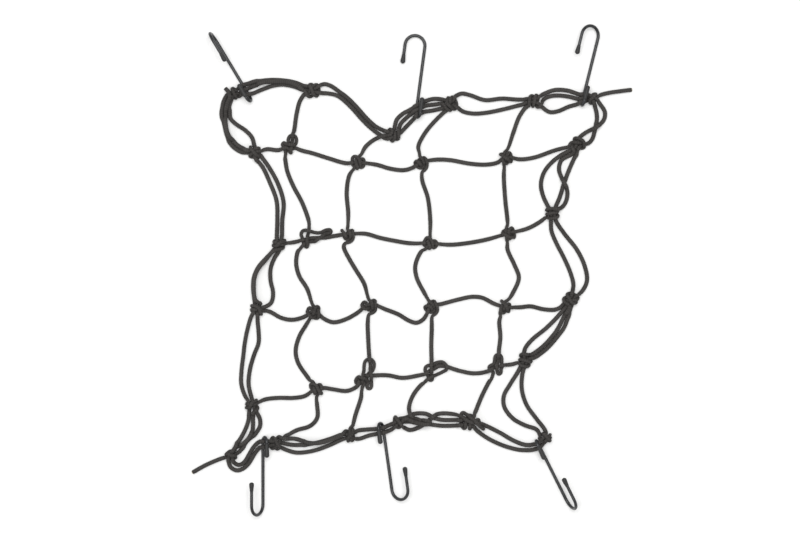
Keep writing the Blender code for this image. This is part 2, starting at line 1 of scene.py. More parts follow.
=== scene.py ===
"""Elastic cargo net with six wire hooks, lying loose and flat.

The net is four cords and six hooks. Two border cords run all the way round. A weft cord zigzags
from side to side and a warp cord from top to bottom. Each is tied round the border with a hitch
at both ends of every row or column, and the warp is tied round the weft with a crossing knot
wherever the two meet. The cords are laid out along their routes and then settled: they sink on
to the surface, pull tight in their knots, and push each other apart.

Lengths in the tables are millimetres in the net's own X and Y; the meshes are in metres.
"""

import logging
import math
from dataclasses import dataclass, field
from enum import Enum
from typing import NamedTuple, Optional

import bpy
import numpy as np
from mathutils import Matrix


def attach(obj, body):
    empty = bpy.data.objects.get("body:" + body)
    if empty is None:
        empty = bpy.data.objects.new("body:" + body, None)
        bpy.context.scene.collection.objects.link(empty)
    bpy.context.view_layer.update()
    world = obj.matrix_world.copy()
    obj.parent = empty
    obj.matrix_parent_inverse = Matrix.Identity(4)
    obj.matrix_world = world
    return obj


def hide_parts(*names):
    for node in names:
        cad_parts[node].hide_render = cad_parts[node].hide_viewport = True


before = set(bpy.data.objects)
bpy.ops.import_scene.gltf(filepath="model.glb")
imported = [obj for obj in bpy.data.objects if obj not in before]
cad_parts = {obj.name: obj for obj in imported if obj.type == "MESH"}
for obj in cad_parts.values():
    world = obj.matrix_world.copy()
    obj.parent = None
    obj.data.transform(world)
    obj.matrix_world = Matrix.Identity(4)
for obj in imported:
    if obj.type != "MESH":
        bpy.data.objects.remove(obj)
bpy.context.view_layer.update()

Array = np.ndarray
log = logging.getLogger("cargo_net")

MM = 0.001
BODY = "root"
MIDDLE = np.array([-0.7, 0.7, 0.0])     # the middle of the outline, in the tables' X and Y
CORD_R = 2.1                            # a loose cord
TIGHT_R = 1.65                          # the same cord where a knot stretches it
PASS = 1.9                              # how far each border cord passes from a knot's centre
TURN = 3.15                             # unit of the knots' paths: about a tight cord's diameter
STRETCH_POINTS = 24                     # points worked out between two control points
KNOT_LIFT = 5.6                         # height of the cords that a knot is tied round


class Slot(Enum):
    """The record's material slots."""

    CORD = "cord"
    WIRE = "wire"
    TIP = "tip"


class Side(Enum):
    """Which cord of the border a route belongs to."""

    OUTER = 1
    INNER = -1


# ---- the route tables ----------------------------------------------------------------------------
class Knot(NamedTuple):
    """A knot: its centre, and for one on the border the direction that faces away from the net.

    A crossing knot has its lobes, where the tied cord turns under: upper left, upper right, lower.
    """

    x: float
    y: float
    out: Optional[float] = None
    lobes: tuple = ((-5.0, 4.5), (5.0, 4.0), (0.5, -6.0))


class Span(NamedTuple):
    """A stretch of the border from one knot to the next one round, with both cords' points."""

    side: str
    start: str
    a: tuple
    b: tuple


class Run(NamedTuple):
    """A third strand along the border between two rows or columns."""

    name: str
    points: tuple


class Line(NamedTuple):
    """A row or a column: its knots in order, and the points between each two."""

    name: str
    knots: tuple
    spans: tuple


KNOTS = {
    "TL": Knot(-178, 177, 135), "T1": Knot(-98, 180, 90), "T2": Knot(-19, 135.5, 90),
    "T3": Knot(39, 167, 90), "T4": Knot(123, 170, 90), "TR": Knot(180, 172.5, 45),
    "R1": Knot(166, 126, 0), "R2": Knot(140, 58.5, 0), "R3": Knot(159.5, -28, 0),
    "R4": Knot(113.5, -89, -20), "BR": Knot(134, -166, -45),
    "B4": Knot(58, -151, -90), "B3": Knot(-12.8, -150.5, -90), "B2": Knot(-61.5, -164.5, -90),
    "B1": Knot(-137, -172, -90), "BL": Knot(-181, -184, 180),
    "L4": Knot(-160, -134, 180), "L3": Knot(-155, -38, 180), "L2": Knot(-133, 27, 180),
    "L1": Knot(-157, 118, 180),
    "K11": Knot(-122, 124),
    "K12": Knot(-55, 108, lobes=((-4.5, 7), (4.5, 5.5), (-1, -7))),
    "K13": Knot(9, 108.5, lobes=((-5, -0.5), (2, 5), (4, -4.5))),
    "K14": Knot(93, 113.5, lobes=((-3.8, 3.5), (4.5, 4), (1, -6))),
    "K21": Knot(-106.5, 31.5),
    "K22": Knot(-64.5, 36.5, lobes=((-6, 4), (5, 4), (4, -4.5))),
    "K23": Knot(17.5, 27.5, lobes=((-4, 4), (5, 3), (-1.5, -6))),
    "K24": Knot(96, 37.5, lobes=((-5.5, 2), (4, 5), (1, -5.5))),
    "K31": Knot(-97.8, -40.8, lobes=((-5, 5), (5, 4), (3, -6))),
    "K32": Knot(-42.5, -33.5, lobes=((-5, 3), (5, 5), (3.5, -6))),
    "K33": Knot(19.5, -35.5, lobes=((-6.5, -1), (1, 6), (4, -3.5))),
    "K34": Knot(92, -36, lobes=((-2.5, 5.5), (5.5, 0.5), (-1, -6))),
    "K41": Knot(-97, -118, lobes=((-4, 5), (5, 4), (1, -5.5))),
    "K42": Knot(-48, -106), "K43": Knot(18.5, -101), "K44": Knot(85, -95),
}

# A point is (x, y), or (x, y, n) where the cord rides over n others. Between TR and R1 the two
# border cords cross, so on the rest of the right side cord a is the inner one.
BORDER = (
    Span("top", "TL",
         ((-168, 185.5), (-155, 189), (-140, 190.6), (-127, 189.8), (-115, 187), (-105, 183)),
         ((-163, 176), (-150, 181), (-140, 184.5), (-130, 186), (-120, 185), (-110, 181))),
    Span("top", "T1",
         ((-88.5, 186.5), (-82, 185), (-75, 180.5), (-66, 173), (-56, 163.5), (-46, 152.5),
          (-37, 144.5), (-27, 139.5)),
         ((-91, 177.5), (-83, 177), (-75, 175), (-67, 170), (-58.3, 161), (-49.3, 150.5),
          (-40, 141.5), (-32, 135.5), (-26, 132))),
    Span("top", "T2",
         ((-17.5, 144), (-15.5, 151), (-8.5, 157.5), (-2, 160.5), (5, 165), (12, 169), (20, 171.5),
          (27.5, 171.5), (34, 170)),
         ((-12, 138), (-4, 146), (3, 153), (11.5, 158.5), (20, 160), (29, 162))),
    Span("top", "T3",
         ((43, 174), (49, 177), (57.5, 175.5), (72.5, 170.5), (89.5, 172), (106, 171)),
         ((44, 163.5), (51, 159), (61, 157), (75, 158), (92, 161.5), (108, 165.5))),
    Span("top", "T4",
         ((131, 176.5), (142, 180.5), (155, 180), (167.5, 176)),
         ((129, 164), (137, 158.6), (146, 159.5), (156.5, 164), (167.5, 167))),
    Span("right", "TR",
         ((188, 166), (192.5, 158.5), (191.5, 151), (184, 143.5, 1), (174, 138.5), (167, 133)),
         ((182.5, 164), (184.5, 153), (182.5, 141), (179.8, 131.6), (175.5, 127))),
    Span("right", "R1",
         ((158, 120), (143, 111.5), (132, 99), (128.5, 86), (131, 74), (135.5, 64.5)),
         ((163.5, 116), (158, 104), (152, 88.5), (147.5, 74), (143.5, 64.5))),
    Span("right", "R2",
         ((138.5, 50), (139, 40), (144, 27.5), (151.5, 13), (158, -2), (161, -14), (159.5, -22)),
         ((143.5, 50), (152, 37), (164.5, 21), (172.5, 4), (174.5, -10), (170, -20))),
    Span("right", "R3",
         ((155.5, -33), (145, -46), (133.5, -57.5), (120, -68.5), (113, -77), (111.5, -83)),
         ((158.5, -36), (155.7, -46), (151.3, -57.3), (142.8, -68), (133, -78.3), (123.5, -85))),
    Span("right", "R4",
         ((105.5, -101), (98, -113), (91.5, -125), (92, -136), (100.5, -147.5), (113, -154.5),
          (124.5, -158.8)),
         ((111, -99), (109.3, -117), (114, -133.5), (123.8, -147.5), (133, -160))),
    Span("bottom", "BR",
         ((125, -177.5), (111, -179.2), (95, -176), (77.5, -168.5), (65, -160)),
         ((122, -173), (114, -174), (102, -170), (88, -162), (74, -155))),
    Span("bottom", "B4",
         ((45.5, -154.5), (29, -154.8), (14.5, -153), (3, -151.5), (-5, -150.5)),
         ((45.5, -149), (29, -148.8), (21, -146.5), (15, -143.2), (8, -142.3), (1, -143.2),
          (-5, -146.3))),
    Span("bottom", "B3",
         ((-21.5, -159), (-33, -162.5), (-43, -164.5), (-54, -168)),
         ((-21.5, -153.5), (-33, -157.5), (-44, -158.5), (-54, -159.5))),
    Span("bottom", "B2",
         ((-70, -168.5), (-81, -173.5), (-92.5, -178), (-105, -181), (-117, -181.5), (-128, -178)),
         ((-70, -163.5), (-81, -167.5), (-92.5, -171), (-105, -173.5), (-118, -174), (-128, -172.5))),
    Span("bottom", "B1",
         ((-146, -175.5), (-152, -176.5), (-157, -182), (-162.5, -191), (-168, -197), (-175, -199.5),
          (-181.5, -196), (-183.5, -190)),
         ((-145, -170), (-152, -170.5), (-158, -175.5), (-163, -183.5), (-167.5, -191), (-173, -194),
          (-178, -191.5))),
    Span("left", "BL",
         ((-179, -180), (-175, -173), (-169, -163), (-165, -154), (-163, -146), (-163, -140)),
         ((-173, -181), (-165, -170), (-157, -163), (-152, -155), (-152.5, -147), (-156.5, -140))),
    Span("left", "L4",
         ((-167.5, -124), (-170.8, -113), (-170.6, -100), (-168.8, -85), (-167.3, -72),
          (-164.5, -58), (-161, -46)),
         ((-161, -125), (-163.5, -113), (-162, -98), (-158, -84), (-153.5, -72), (-153.5, -61),
          (-154.5, -48))),
    Span("left", "L3",
         ((-157.5, -30), (-159, -17), (-158, -6), (-153.5, 4), (-146, 12.5), (-139, 20)),
         ((-148, -36.5), (-141, -32), (-139, -22), (-141.5, -10), (-141.5, 2), (-138, 12),
          (-133, 20))),
    Span("left", "L2",
         ((-135.3, 34), (-134.8, 50), (-135.6, 70), (-142.6, 89), (-149.2, 103), (-156, 112)),
         ((-130.2, 34), (-129.8, 50), (-128.5, 68), (-133.3, 85), (-141, 100), (-150, 113))),
    Span("left", "L1",
         ((-163, 118), (-171.5, 119.2), (-179, 124), (-184.5, 133.5), (-187.8, 146), (-190, 158),
          (-188.5, 169), (-184.5, 176)),
         ((-157.5, 124), (-160, 133), (-167, 140.5), (-176, 146.5), (-182, 153), (-183, 163),
          (-180.5, 171))),
)

RUNS = {
    "warp": (
        Run("warp_run_1",
            ((-166, 181), (-157, 185.5), (-148, 188), (-138, 188.5), (-127, 188.5), (-117, 186))),
        Run("warp_run_2",
            ((-126, -167.5), (-116, -168), (-104, -171.5), (-92, -171.5), (-80, -168), (-71, -164))),
        Run("warp_run_3",
            ((-12, 146), (-5, 153.5), (3, 160), (12, 164.5), (22, 166), (30, 166.5))),
        Run("warp_run_4",
            ((-9, -156), (-3.3, -159), (3, -158), (11, -153.5), (17.5, -148.5), (23, -144),
             (29, -142.5), (38, -142.8))),
        Run("warp_run_5", ((133, 172.5), (143, 175), (156, 174), (168, 171.5))),
    ),
    "weft": (
        Run("weft_run_1",
            ((-184, 168), (-186.3, 158), (-186.3, 149), (-184, 137), (-178.5, 129), (-171, 123),
             (-164, 120))),
        Run("weft_run_2",
            ((161, 118), (150, 112), (146.5, 102), (150, 91, 1.5), (155, 79), (152.5, 67),
             (146, 61.5))),
        Run("weft_run_3",
            ((-138, 20), (-146.5, 10.5), (-154, 1.5), (-157.5, -8), (-158, -18), (-156.5, -29))),
        Run("weft_run_4",
            ((157, -35.5), (151, -47), (145, -58.5), (137.5, -69), (129, -77.5), (120, -84))),
        Run("weft_run_5", ((-159, -143), (-159, -152), (-160, -161), (-166, -170))),
    ),
}

TAILS = {
    "warp": ("TR", ((188.8, 175.9), (198, 178), (208, 179.4), (219.2, 180.8))),
    "weft": ("BL", ((-189, -187), (-197, -190), (-207, -194.5), (-219.5, -201.5))),
}

LINES = {
    "weft": (
        Line("row_1", ("L1", "K11", "K12", "K13", "K14", "R1"),
             (((-145, 121.5), (-134, 120.5)),
              ((-110, 120), (-100, 117.5), (-82.5, 112), (-66.5, 107.5)),
              ((-36, 106), (-22, 102), (-8.5, 100.5), (0.5, 103)),
              ((24.5, 111), (38, 110.5), (57.5, 107), (73.5, 106), (85, 108)),
              ((108, 111.3), (122, 113.2), (144, 120.8)))),
        Line("row_2", ("L2", "K21", "K22", "K23", "K24", "R2"),
             (((-118, 28.5),), ((-95, 32.5), (-82.5, 34), (-73, 35.5)),
              ((-47, 37), (-32.5, 33), (-18, 30), (-2, 27.5)),
              ((38, 26), (57.5, 28), (75.5, 31.5)), ((114.5, 42), (127, 48.5)))),
        Line("row_3", ("L3", "K31", "K32", "K33", "K34", "R3"),
             (((-142, -41), (-131, -47), (-120, -49), (-109, -46.5)),
              ((-88, -48), (-79, -51.5), (-66.5, -48.5), (-55.5, -42.5)),
              ((-25.5, -39), (-13, -44), (-4, -49.5), (4, -52), (11, -48.5)),
              ((30, -33), (47, -28.5), (60, -26), (70, -27), (82, -33)),
              ((107.5, -36.5), (118, -35.5), (131.5, -38.5), (144, -38.5)))),
        Line("row_4", ("L4", "K41", "K42", "K43", "K44", "R4"),
             (((-147, -128.5), (-134, -127), (-118, -127), (-107, -125)),
              ((-88, -117), (-78.5, -118.5), (-65, -120), (-56, -116)),
              ((-36, -104.5), (-24, -104.5), (-10, -107), (4, -105)),
              ((24, -95.6), (29.5, -94.4), (35, -96), (47.5, -100), (62, -102.5), (75, -100.5)),
              ((99.5, -93.5),))),
    ),
    "warp": (
        Line("column_1", ("T1", "K11", "K21", "K31", "K41", "B1"),
             (((-106, 178), (-112, 170), (-115.5, 157), (-118, 140)),
              ((-127, 112), (-125, 100), (-119, 85), (-110, 68), (-104, 52)),
              ((-114, 20), (-116, 8), (-113, -5), (-105, -18)),
              ((-106, -54), (-113, -66), (-116.5, -80), (-114, -92), (-104, -107)),
              ((-95, -135), (-95, -147), (-102, -155), (-116, -159.5)))),
        Line("column_2", ("T2", "K12", "K22", "K32", "K42", "B2"),
             (((-29, 134.5, 1.4), (-38, 131, 0.6), (-47, 123.5)), ((-63, 95), (-65.5, 78.5), (-64, 58)),
              ((-68.5, 24), (-63, 12), (-55.5, -0.5), (-48, -13)),
              ((-44.5, -52), (-44, -68), (-43, -85)), ((-51, -126), (-57, -145)))),
        Line("column_3", ("T3", "K13", "K23", "K33", "K43", "B3"),
             (((34.5, 161), (24.5, 151.5), (13, 138), (6, 124)), ((10, 90), (15.5, 73), (18, 50)),
              ((8, 18), (3, 5), (4.5, -7), (12, -22)), ((19.5, -56.5), (19, -75), (19.3, -90)),
              ((10, -113), (1, -124), (-3.2, -136), (-2.4, -142), (0.5, -146.8, 1),
               (7, -149.3, 1.1), (14, -149.4, 1.2), (18, -151, 1.2), (14, -152.6, 1.2),
               (6, -151.8, 1.1), (-2, -148.8, 1), (-6, -147.5, 1)))),
        Line("column_4", ("T4", "K14", "K24", "K34", "K44", "B4"),
             (((115, 165), (107.5, 155), (100.8, 137.5)), ((91.5, 95), (93, 70), (95, 52)),
              ((95, 22), (102, 6), (106.5, -7), (100, -23)), ((87, -50), (88, -66), (86.5, -80)),
              ((78, -109), (70, -124), (63, -141)))),
    ),
}

# The start of the weft cord: its end sticks out of the upper left corner's knot.
WEFT_START = ((-187, 182.5, 0.6), (-183, 178, 2.1), (-181.5, 173, 2.0))
# The start of the outer border cord, from where it passes the lower right corner's knot.
BORDER_START = (2.5, 3.0, -1.0)
# Points that the border's own corner hitch and the warp's first one leave towards.
BORDER_TIE_LEAVES = (150, -150)
WARP_START_LEAVES = (-200, 150)

# ---- the knots' own paths, in turns of cord: along the border, outwards, up ----------------------
# A hitch comes in from the net, goes round the border cords, crosses over itself, goes round them
# again, and leaves along the border.
HITCH = (
    (-0.1, -1.75, 0.6), (-0.2, 0.0, 1.3), (-0.25, 1.55, 0.4), (-0.45, 1.3, -0.8), (-0.6, 0.0, -1.2),
    (-0.9, -1.5, -0.7), (-1.1, -1.6, 0.6), (-0.5, -0.6, 2.1), (0.4, 0.6, 2.1), (0.85, 1.6, 0.5),
    (0.7, 1.2, -0.8), (0.55, 0.0, -1.2), (0.6, -1.5, -0.7), (1.2, -1.5, 0.5),
)
HITCH_ENTRY = 1.75      # where a row or column meets its hitch, in turns from the knot's centre
HITCH_DROP = 0.4        # and how far down
# A corner hitch comes along the border, goes round the border cords twice, and leaves outwards.
CORNER = (
    (-1.6, -0.6, 1.3), (-0.9, -1.6, 0.3), (-0.55, -1.2, -0.8), (-0.45, 0.0, -1.2), (-0.35, 1.5, -0.5),
    (-0.2, 1.5, 0.6), (0.05, 0.1, 1.5), (0.35, -1.5, 0.5), (0.5, -1.2, -0.8), (0.6, 0.0, -1.2),
    (0.75, 1.5, -0.6),
)
CROSSING_REACH = 8.8    # where a column meets its crossing knots, from their centres
CROSSING_DROP = -3.4    # and how far down, which is the surface
LOOSE_KNOT_TIED = 0.75  # how tight the larger loops are, from 0 to 1
LOOSE_HITCH_TIED = 0.7
# Crossing knots with larger loops, point by point from above: x, y, and how many cords high.
LOOSE_KNOTS = {
    "K11": ((-119.3, 136, 1), (-119.8, 130, 1.2), (-121.5, 123, 1.3),
            (-121, 117.5, 0.8), (-121.5, 119, 0), (-122.5, 125, 0), (-124, 130, 0.3),
            (-122.8, 134.3, 0), (-119.5, 135.6, 0), (-116.3, 133.6, 0.3), (-115.8, 128.5, 1.2),
            (-119, 124.5, 2.3), (-125, 126, 2), (-129.5, 127, 1), (-128.5, 125, 0),
            (-126, 119, 0.2), (-127.3, 113, 0)),
    "K21": ((-103, 47, 0), (-103.2, 41, 0), (-104.4, 35.5, 1), (-105.4, 30, 1.3), (-105.6, 23, 0.7),
            (-107, 26, 0), (-109.3, 32, 0), (-111.3, 36.5, 0.5), (-109, 40.3, 0.9),
            (-104, 40, 1.4), (-97.5, 38.2, 0.8), (-92, 38, 0.4), (-87, 40, 0.5),
            (-82.6, 41, 0.7), (-80.6, 38.8, 0.9), (-84, 36.8, 1.6), (-90, 34.2, 1.6),
            (-96, 30.6, 1.2), (-100.5, 30.2, 1.2), (-104.5, 28.5, 0.4), (-109, 25.5, 0),
            (-112.7, 21, 0)),
    "K42": ((-41.9, -93, 1.1), (-41.6, -104, 1.4),
            (-40.8, -111, 1), (-41.2, -117.5, 0.6), (-44.5, -117.8, 0.4), (-46, -114.5, 0.3),
            (-45, -110.5, 0), (-47.5, -107.2, 1.9), (-51.5, -106, 1.6), (-56, -108, 1),
            (-56.6, -111.6, 0.5), (-53.5, -113.6, 0), (-50, -110.5, 0.8), (-48.4, -104, 1.4),
            (-48.2, -97, 0.9), (-47.6, -91.5, 0.4), (-45.3, -88.6, 0), (-41, -88.6, 0),
            (-38.2, -91.5, 0.3), (-38.2, -96, 0.3), (-41.5, -101.5, 0), (-46.5, -107, 0),
            (-49.3, -114, 0), (-50.8, -122, 0)),
    "K43": ((19, -95, 1.2), (19, -102, 1.4), (19, -109.8, 0.8), (17.2, -108.5, 0),
            (15.5, -103.5, 0), (12.8, -100, 0.4), (13.2, -96.2, 0.3), (16.5, -94.3, 0),
            (21, -94.6, 0.4), (25.5, -93.2, 1), (30.5, -92.6, 1), (34.5, -94.8, 0.8),
            (34.2, -98.6, 0.9), (30, -101.2, 0.7), (24.5, -103.8, 0.9), (19, -106, 2.2),
            (14.8, -108.8, 0.6), (11.3, -112.5, 0)),
    "K44": ((86.3, -86, 1.1), (85, -94.5, 1.4), (84.6, -99.5, 1.1),
            (85.8, -103.6, 0.6), (88.6, -102.5, 0.2), (88.6, -97, 0), (89.4, -91.5, 0.4),
            (89.2, -87, 0.3), (86.8, -83.6, 0), (83.4, -84.4, 0), (82.3, -88.5, 0.8),
            (82.5, -93, 1.2), (79.8, -94.6, 1.6), (76.6, -96, 0.9), (77.5, -98.6, 0),
            (81, -100.6, 0), (79.8, -106, 0), (77.6, -110.5, 0)),
}

# The other hitches, from the column to the border: a single turn at B3 and a long one at B4.
LOOSE_HITCHES = {
    "B3": ((-9.5, -149.5, 1.9), (-12, -154, 1.6), (-14, -157, 0.6), (-15.5, -154, 0),
           (-17, -149.5, 0), (-17.3, -146, 0.9), (-14.3, -149.2, 2.1), (-11, -153, 2),
           (-9.3, -156, 0.8)),
    "B4": ((62, -143, 0.2), (60.7, -147, 1), (58.5, -153, 1.6), (57.5, -158.3, 0.8), (58.5, -156, 0),
           (60, -150, 0), (60, -145.5, 0.5), (57, -144, 1.3), (53.5, -149, 1.8), (51.7, -157.8, 0.9),
           (50.3, -155, 0), (49, -147, 0.1), (49.5, -141.6, 0.9), (54, -143.5, 1.8),
           (61.5, -149.5, 2.2), (67.5, -154.5, 1.9), (71.3, -158.3, 0.8), (69, -156, 0),
           (65.5, -151.5, 0.2), (66.5, -148.8, 1), (63, -151.5, 2), (56, -150, 2.3),
           (50.5, -146.5, 1.7), (46, -144.2, 1.1)),
}


# ---- curves --------------------------------------------------------------------------------------
def unit(v: Array) -> Array:
    """The vectors at length one."""
    return v / np.maximum(np.linalg.norm(v, axis=-1, keepdims=True), 1e-12)


def lengths_along(rows: Array) -> Array:
    """How far along a polyline each of its points lies."""
    steps = np.linalg.norm(np.diff(rows[:, :3], axis=0), axis=1)
    return np.concatenate([[0], np.cumsum(steps)])


def blended(at: Array, along: Array, rows: Array) -> Array:
    """Rows between the given ones, blended in a straight line at each new length."""
    return np.column_stack([np.interp(at, along, rows[:, k]) for k in range(rows.shape[1])])


def spaced(total: float, step: float) -> Array:
    """Lengths from 0 to the total, about a step apart."""
    return np.linspace(0, total, max(3, round(total / step) + 1))


def smooth_through(points: Array, step: float) -> tuple[Array, Array]:
    """Points a step apart on a centripetal Catmull-Rom curve through the given ones.

    Each stretch between two points is three nested linear blends, whose knots are spaced by the
    square root of the distance between the points.

    Args:
        points: rows of x, y, z and whatever else is blended with them.
        step: distance between the new points.

    Returns:
        The new rows, and where each lies: the number of the given point, with its fraction.
    """
    p = np.vstack([2 * points[0] - points[1], points, 2 * points[-1] - points[-2]])
    gaps = np.sqrt(np.linalg.norm(np.diff(p[:, :3], axis=0), axis=1))
    knot = np.concatenate([[0], np.cumsum(np.maximum(gaps, 1e-3))])
    fraction = np.linspace(0, 1, STRETCH_POINTS, endpoint=False)[:, None]
    dense, where = [], []
    for i in range(1, len(p) - 2):
        t0, t1, t2, t3 = knot[i - 1:i + 3]
        t = t1 + (t2 - t1) * fraction
        a1 = (t1 - t) / (t1 - t0) * p[i - 1] + (t - t0) / (t1 - t0) * p[i]
        a2 = (t2 - t) / (t2 - t1) * p[i] + (t - t1) / (t2 - t1) * p[i + 1]
        a3 = (t3 - t) / (t3 - t2) * p[i + 1] + (t - t2) / (t3 - t2) * p[i + 2]
        b1 = (t2 - t) / (t2 - t0) * a1 + (t - t0) / (t2 - t0) * a2
        b2 = (t3 - t) / (t3 - t1) * a2 + (t - t1) / (t3 - t1) * a3
        dense.append((t2 - t) / (t2 - t1) * b1 + (t - t1) / (t2 - t1) * b2)
        where.append(i - 1 + fraction[:, 0])
    rows = np.vstack(dense + [p[-2:-1]])
    places = np.concatenate(where + [[len(points) - 1.0]])
    along = lengths_along(rows)
    at = spaced(along[-1], step)
    return blended(at, along, rows), np.interp(at, along, places)


def even_out(points: Array, step: float, extra: Optional[Array] = None) -> tuple[Array, Array]:
    """Points a step apart along a polyline, with any extra columns blended to match.

    Args:
        points: the polyline's x, y, z.
        step: distance between the new points.
        extra: columns that go with them.

    Returns:
        The new points and the new extra columns.
    """
    along = lengths_along(points)
    at = spaced(along[-1], step)
    return blended(at, along, points), None if extra is None else blended(at, along, extra)


def carried_frames(points: Array) -> tuple[Array, Array]:
    """Directions across and up at each point, carried along the line without twist.

    Each across direction is the last one with its part along the new tangent taken away, and up
    is square to both.

    Args:
        points: the line's points.

    Returns:
        The across directions and the up directions.
    """
    ways = unit(np.gradient(points, axis=0))
    across = np.zeros_like(ways)
    side = np.cross(ways[0], [0.0, 0.0, 1.0])
    if np.linalg.norm(side) < 0.1:
        side = np.cross(ways[0], [1.0, 0.0, 0.0])
    for k, way in enumerate(ways):
        side = side - way * side.dot(way)
        side = side / math.sqrt(side.dot(side))
        across[k] = side
    return across, np.cross(ways, across)


def angles_round(sides: int) -> Array:
    """Evenly spaced angles round a ring."""
    return np.linspace(0, 2 * math.pi, sides, endpoint=False)


def tube_rings(line: Array, radius: Array, across: Array, up: Array, sides: int) -> Array:
    """Rings round a line: centre + r (across cos(a) + up sin(a)).

    Args:
        line: the centreline.
        radius: r at each point, or at each point and side.
        across: the across direction at each point.
        up: the up direction at each point.
        sides: how many sides a ring has.

    Returns:
        Rings by sides by 3.
    """
    a = angles_round(sides)[None, :, None]
    r = radius[:, None, None] if radius.ndim == 1 else radius[:, :, None]
    return line[:, None] + r * (across[:, None] * np.cos(a) + up[:, None] * np.sin(a))


# ---- meshes --------------------------------------------------------------------------------------
def grid_mesh(name: str, rings: Array, v_at: Array) -> bpy.types.Mesh:
    """A mesh of a tube from its rings, with a UV map: round the tube, and along it.

    Ring r, side k joins side k + 1 and ring r + 1, and each end is closed with a fan about its
    middle.

    Args:
        name: the mesh's name.
        rings: an array of rings by sides by 3, in metres.
        v_at: the V coordinate of each ring.

    Returns:
        The mesh, with smooth shading.
    """
    count, sides = rings.shape[:2]
    vertices = np.vstack([rings.reshape(-1, 3), rings[0].mean(0), rings[-1].mean(0)])
    r, k = np.meshgrid(np.arange(count - 1), np.arange(sides), indexing="ij")
    turn = (k + 1) % sides
    here, there = r * sides, (r + 1) * sides
    quads = np.stack([here + k, here + turn, there + turn, there + k], -1).reshape(-1, 4)
    u0, u1 = k / sides, (k + 1) / sides
    v0, v1 = v_at[r], v_at[r + 1]
    quad_uv = np.stack([u0, v0, u1, v0, u1, v1, u0, v1], -1).reshape(-1, 2)
    k, last = np.arange(sides), (count - 1) * sides
    turn = (k + 1) % sides
    near = np.stack([turn, k, np.full(sides, len(vertices) - 2)], -1)
    end = np.stack([last + k, last + turn, np.full(sides, len(vertices) - 1)], -1)
    fan_u = np.tile(np.stack([(k + 1) / sides, k / sides, (k + 0.5) / sides], -1), (2, 1))
    fan_v = np.repeat([v_at[0], v_at[-1]], sides * 3).reshape(-1, 3)
    uv = np.vstack([quad_uv, np.stack([fan_u, fan_v], -1).reshape(-1, 2)])
    loops = np.concatenate([quads.ravel(), near.ravel(), end.ravel()])
    totals = np.repeat([4, 3], [len(quads), 2 * sides])
    starts = np.cumsum(totals) - totals
    mesh = bpy.data.meshes.new(name)
    mesh.vertices.add(len(vertices))
    mesh.vertices.foreach_set("co", vertices.astype(np.float32).ravel())
    mesh.loops.add(len(loops))
    mesh.loops.foreach_set("vertex_index", loops.astype(np.int32))
    mesh.polygons.add(len(starts))
    mesh.polygons.foreach_set("loop_start", starts.astype(np.int32))
    mesh.polygons.foreach_set("loop_total", totals.astype(np.int32))
    mesh.update(calc_edges=True)
    layer = mesh.uv_layers.new(name="along")
    layer.data.foreach_set("uv", uv.astype(np.float32).ravel())
    mesh.validate()
    mesh.shade_smooth()
    return mesh


def add_piece(name: str, mesh: bpy.types.Mesh, finish: bpy.types.Material, slot: Slot,
              *nodes: str) -> bpy.types.Object:
    """Put a mesh in the scene as a piece that rides on the net and stands for CAD nodes.

    Args:
        name: the piece's name.
        mesh: its mesh, in metres and in place.
        finish: its material.
        slot: not used.
        nodes: the CAD nodes that it stands for.

    Returns:
        The new object.
    """
    mesh.materials.append(finish)
    piece = bpy.data.objects.new(name, mesh)
    bpy.context.scene.collection.objects.link(piece)
    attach(piece, BODY)
    if nodes:
        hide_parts(*nodes)
    log.info("%s: %d faces", name, len(mesh.polygons))
    return piece


def in_place(points: Array) -> Array:
    """Table millimetres as metres about the middle of the outline."""
    return (points - MIDDLE) * MM


# ---- finishes ------------------------------------------------------------------------------------
FIBRE_SCALE = 2200.0                    # the noise of a cord's fibres
FIBRE_DETAIL = 3.0
WEAR_LAYERS = ((1.0, 2.0), (6.0, 4.0))  # the blotches' sizes, as parts of the scale, and detail
WEAR_CONTRAST = 1.6
WEAR_OFFSET = -1.1


class Nodes:
    """A short way to build a material's or a group's nodes."""

    def __init__(self, tree: bpy.types.NodeTree) -> None:
        """Work on one node tree."""
        self.tree = tree

    def add(self, kind: str, **settings: object) -> bpy.types.Node:
        """Add a node and set its properties."""
        node = self.tree.nodes.new(kind)
        for key, value in settings.items():
            setattr(node, key, value)
        return node

    def link(self, source: bpy.types.NodeSocket, target: bpy.types.NodeSocket) -> None:
        """Join two sockets."""
        self.tree.links.new(source, target)

    def math(self, operation: str, *values: object) -> bpy.types.NodeSocket:
        """A Math node whose inputs are numbers or sockets.

        Args:
            operation: the node's operation.
            values: a number or a socket for each input.

        Returns:
            The node's output.
        """
        node = self.add("ShaderNodeMath", operation=operation)
        for socket, value in zip(node.inputs, values):
            if isinstance(value, (int, float)):
                socket.default_value = value
            else:
                self.link(value, socket)
        return node.outputs[0]


def group_with(name: str, inputs: tuple[str, ...], outputs: tuple[str, ...]
               ) -> tuple[bpy.types.NodeTree, Nodes, bpy.types.Node, bpy.types.Node]:
    """A new node group with number sockets, its node helper, and its input and output nodes."""
    group = bpy.data.node_groups.new(name, "ShaderNodeTree")
    for sockets, way in ((inputs, "INPUT"), (outputs, "OUTPUT")):
        for socket in sockets:
            group.interface.new_socket(socket, in_out=way, socket_type="NodeSocketFloat")
    n = Nodes(group)
    return group, n, n.add("NodeGroupInput"), n.add("NodeGroupOutput")


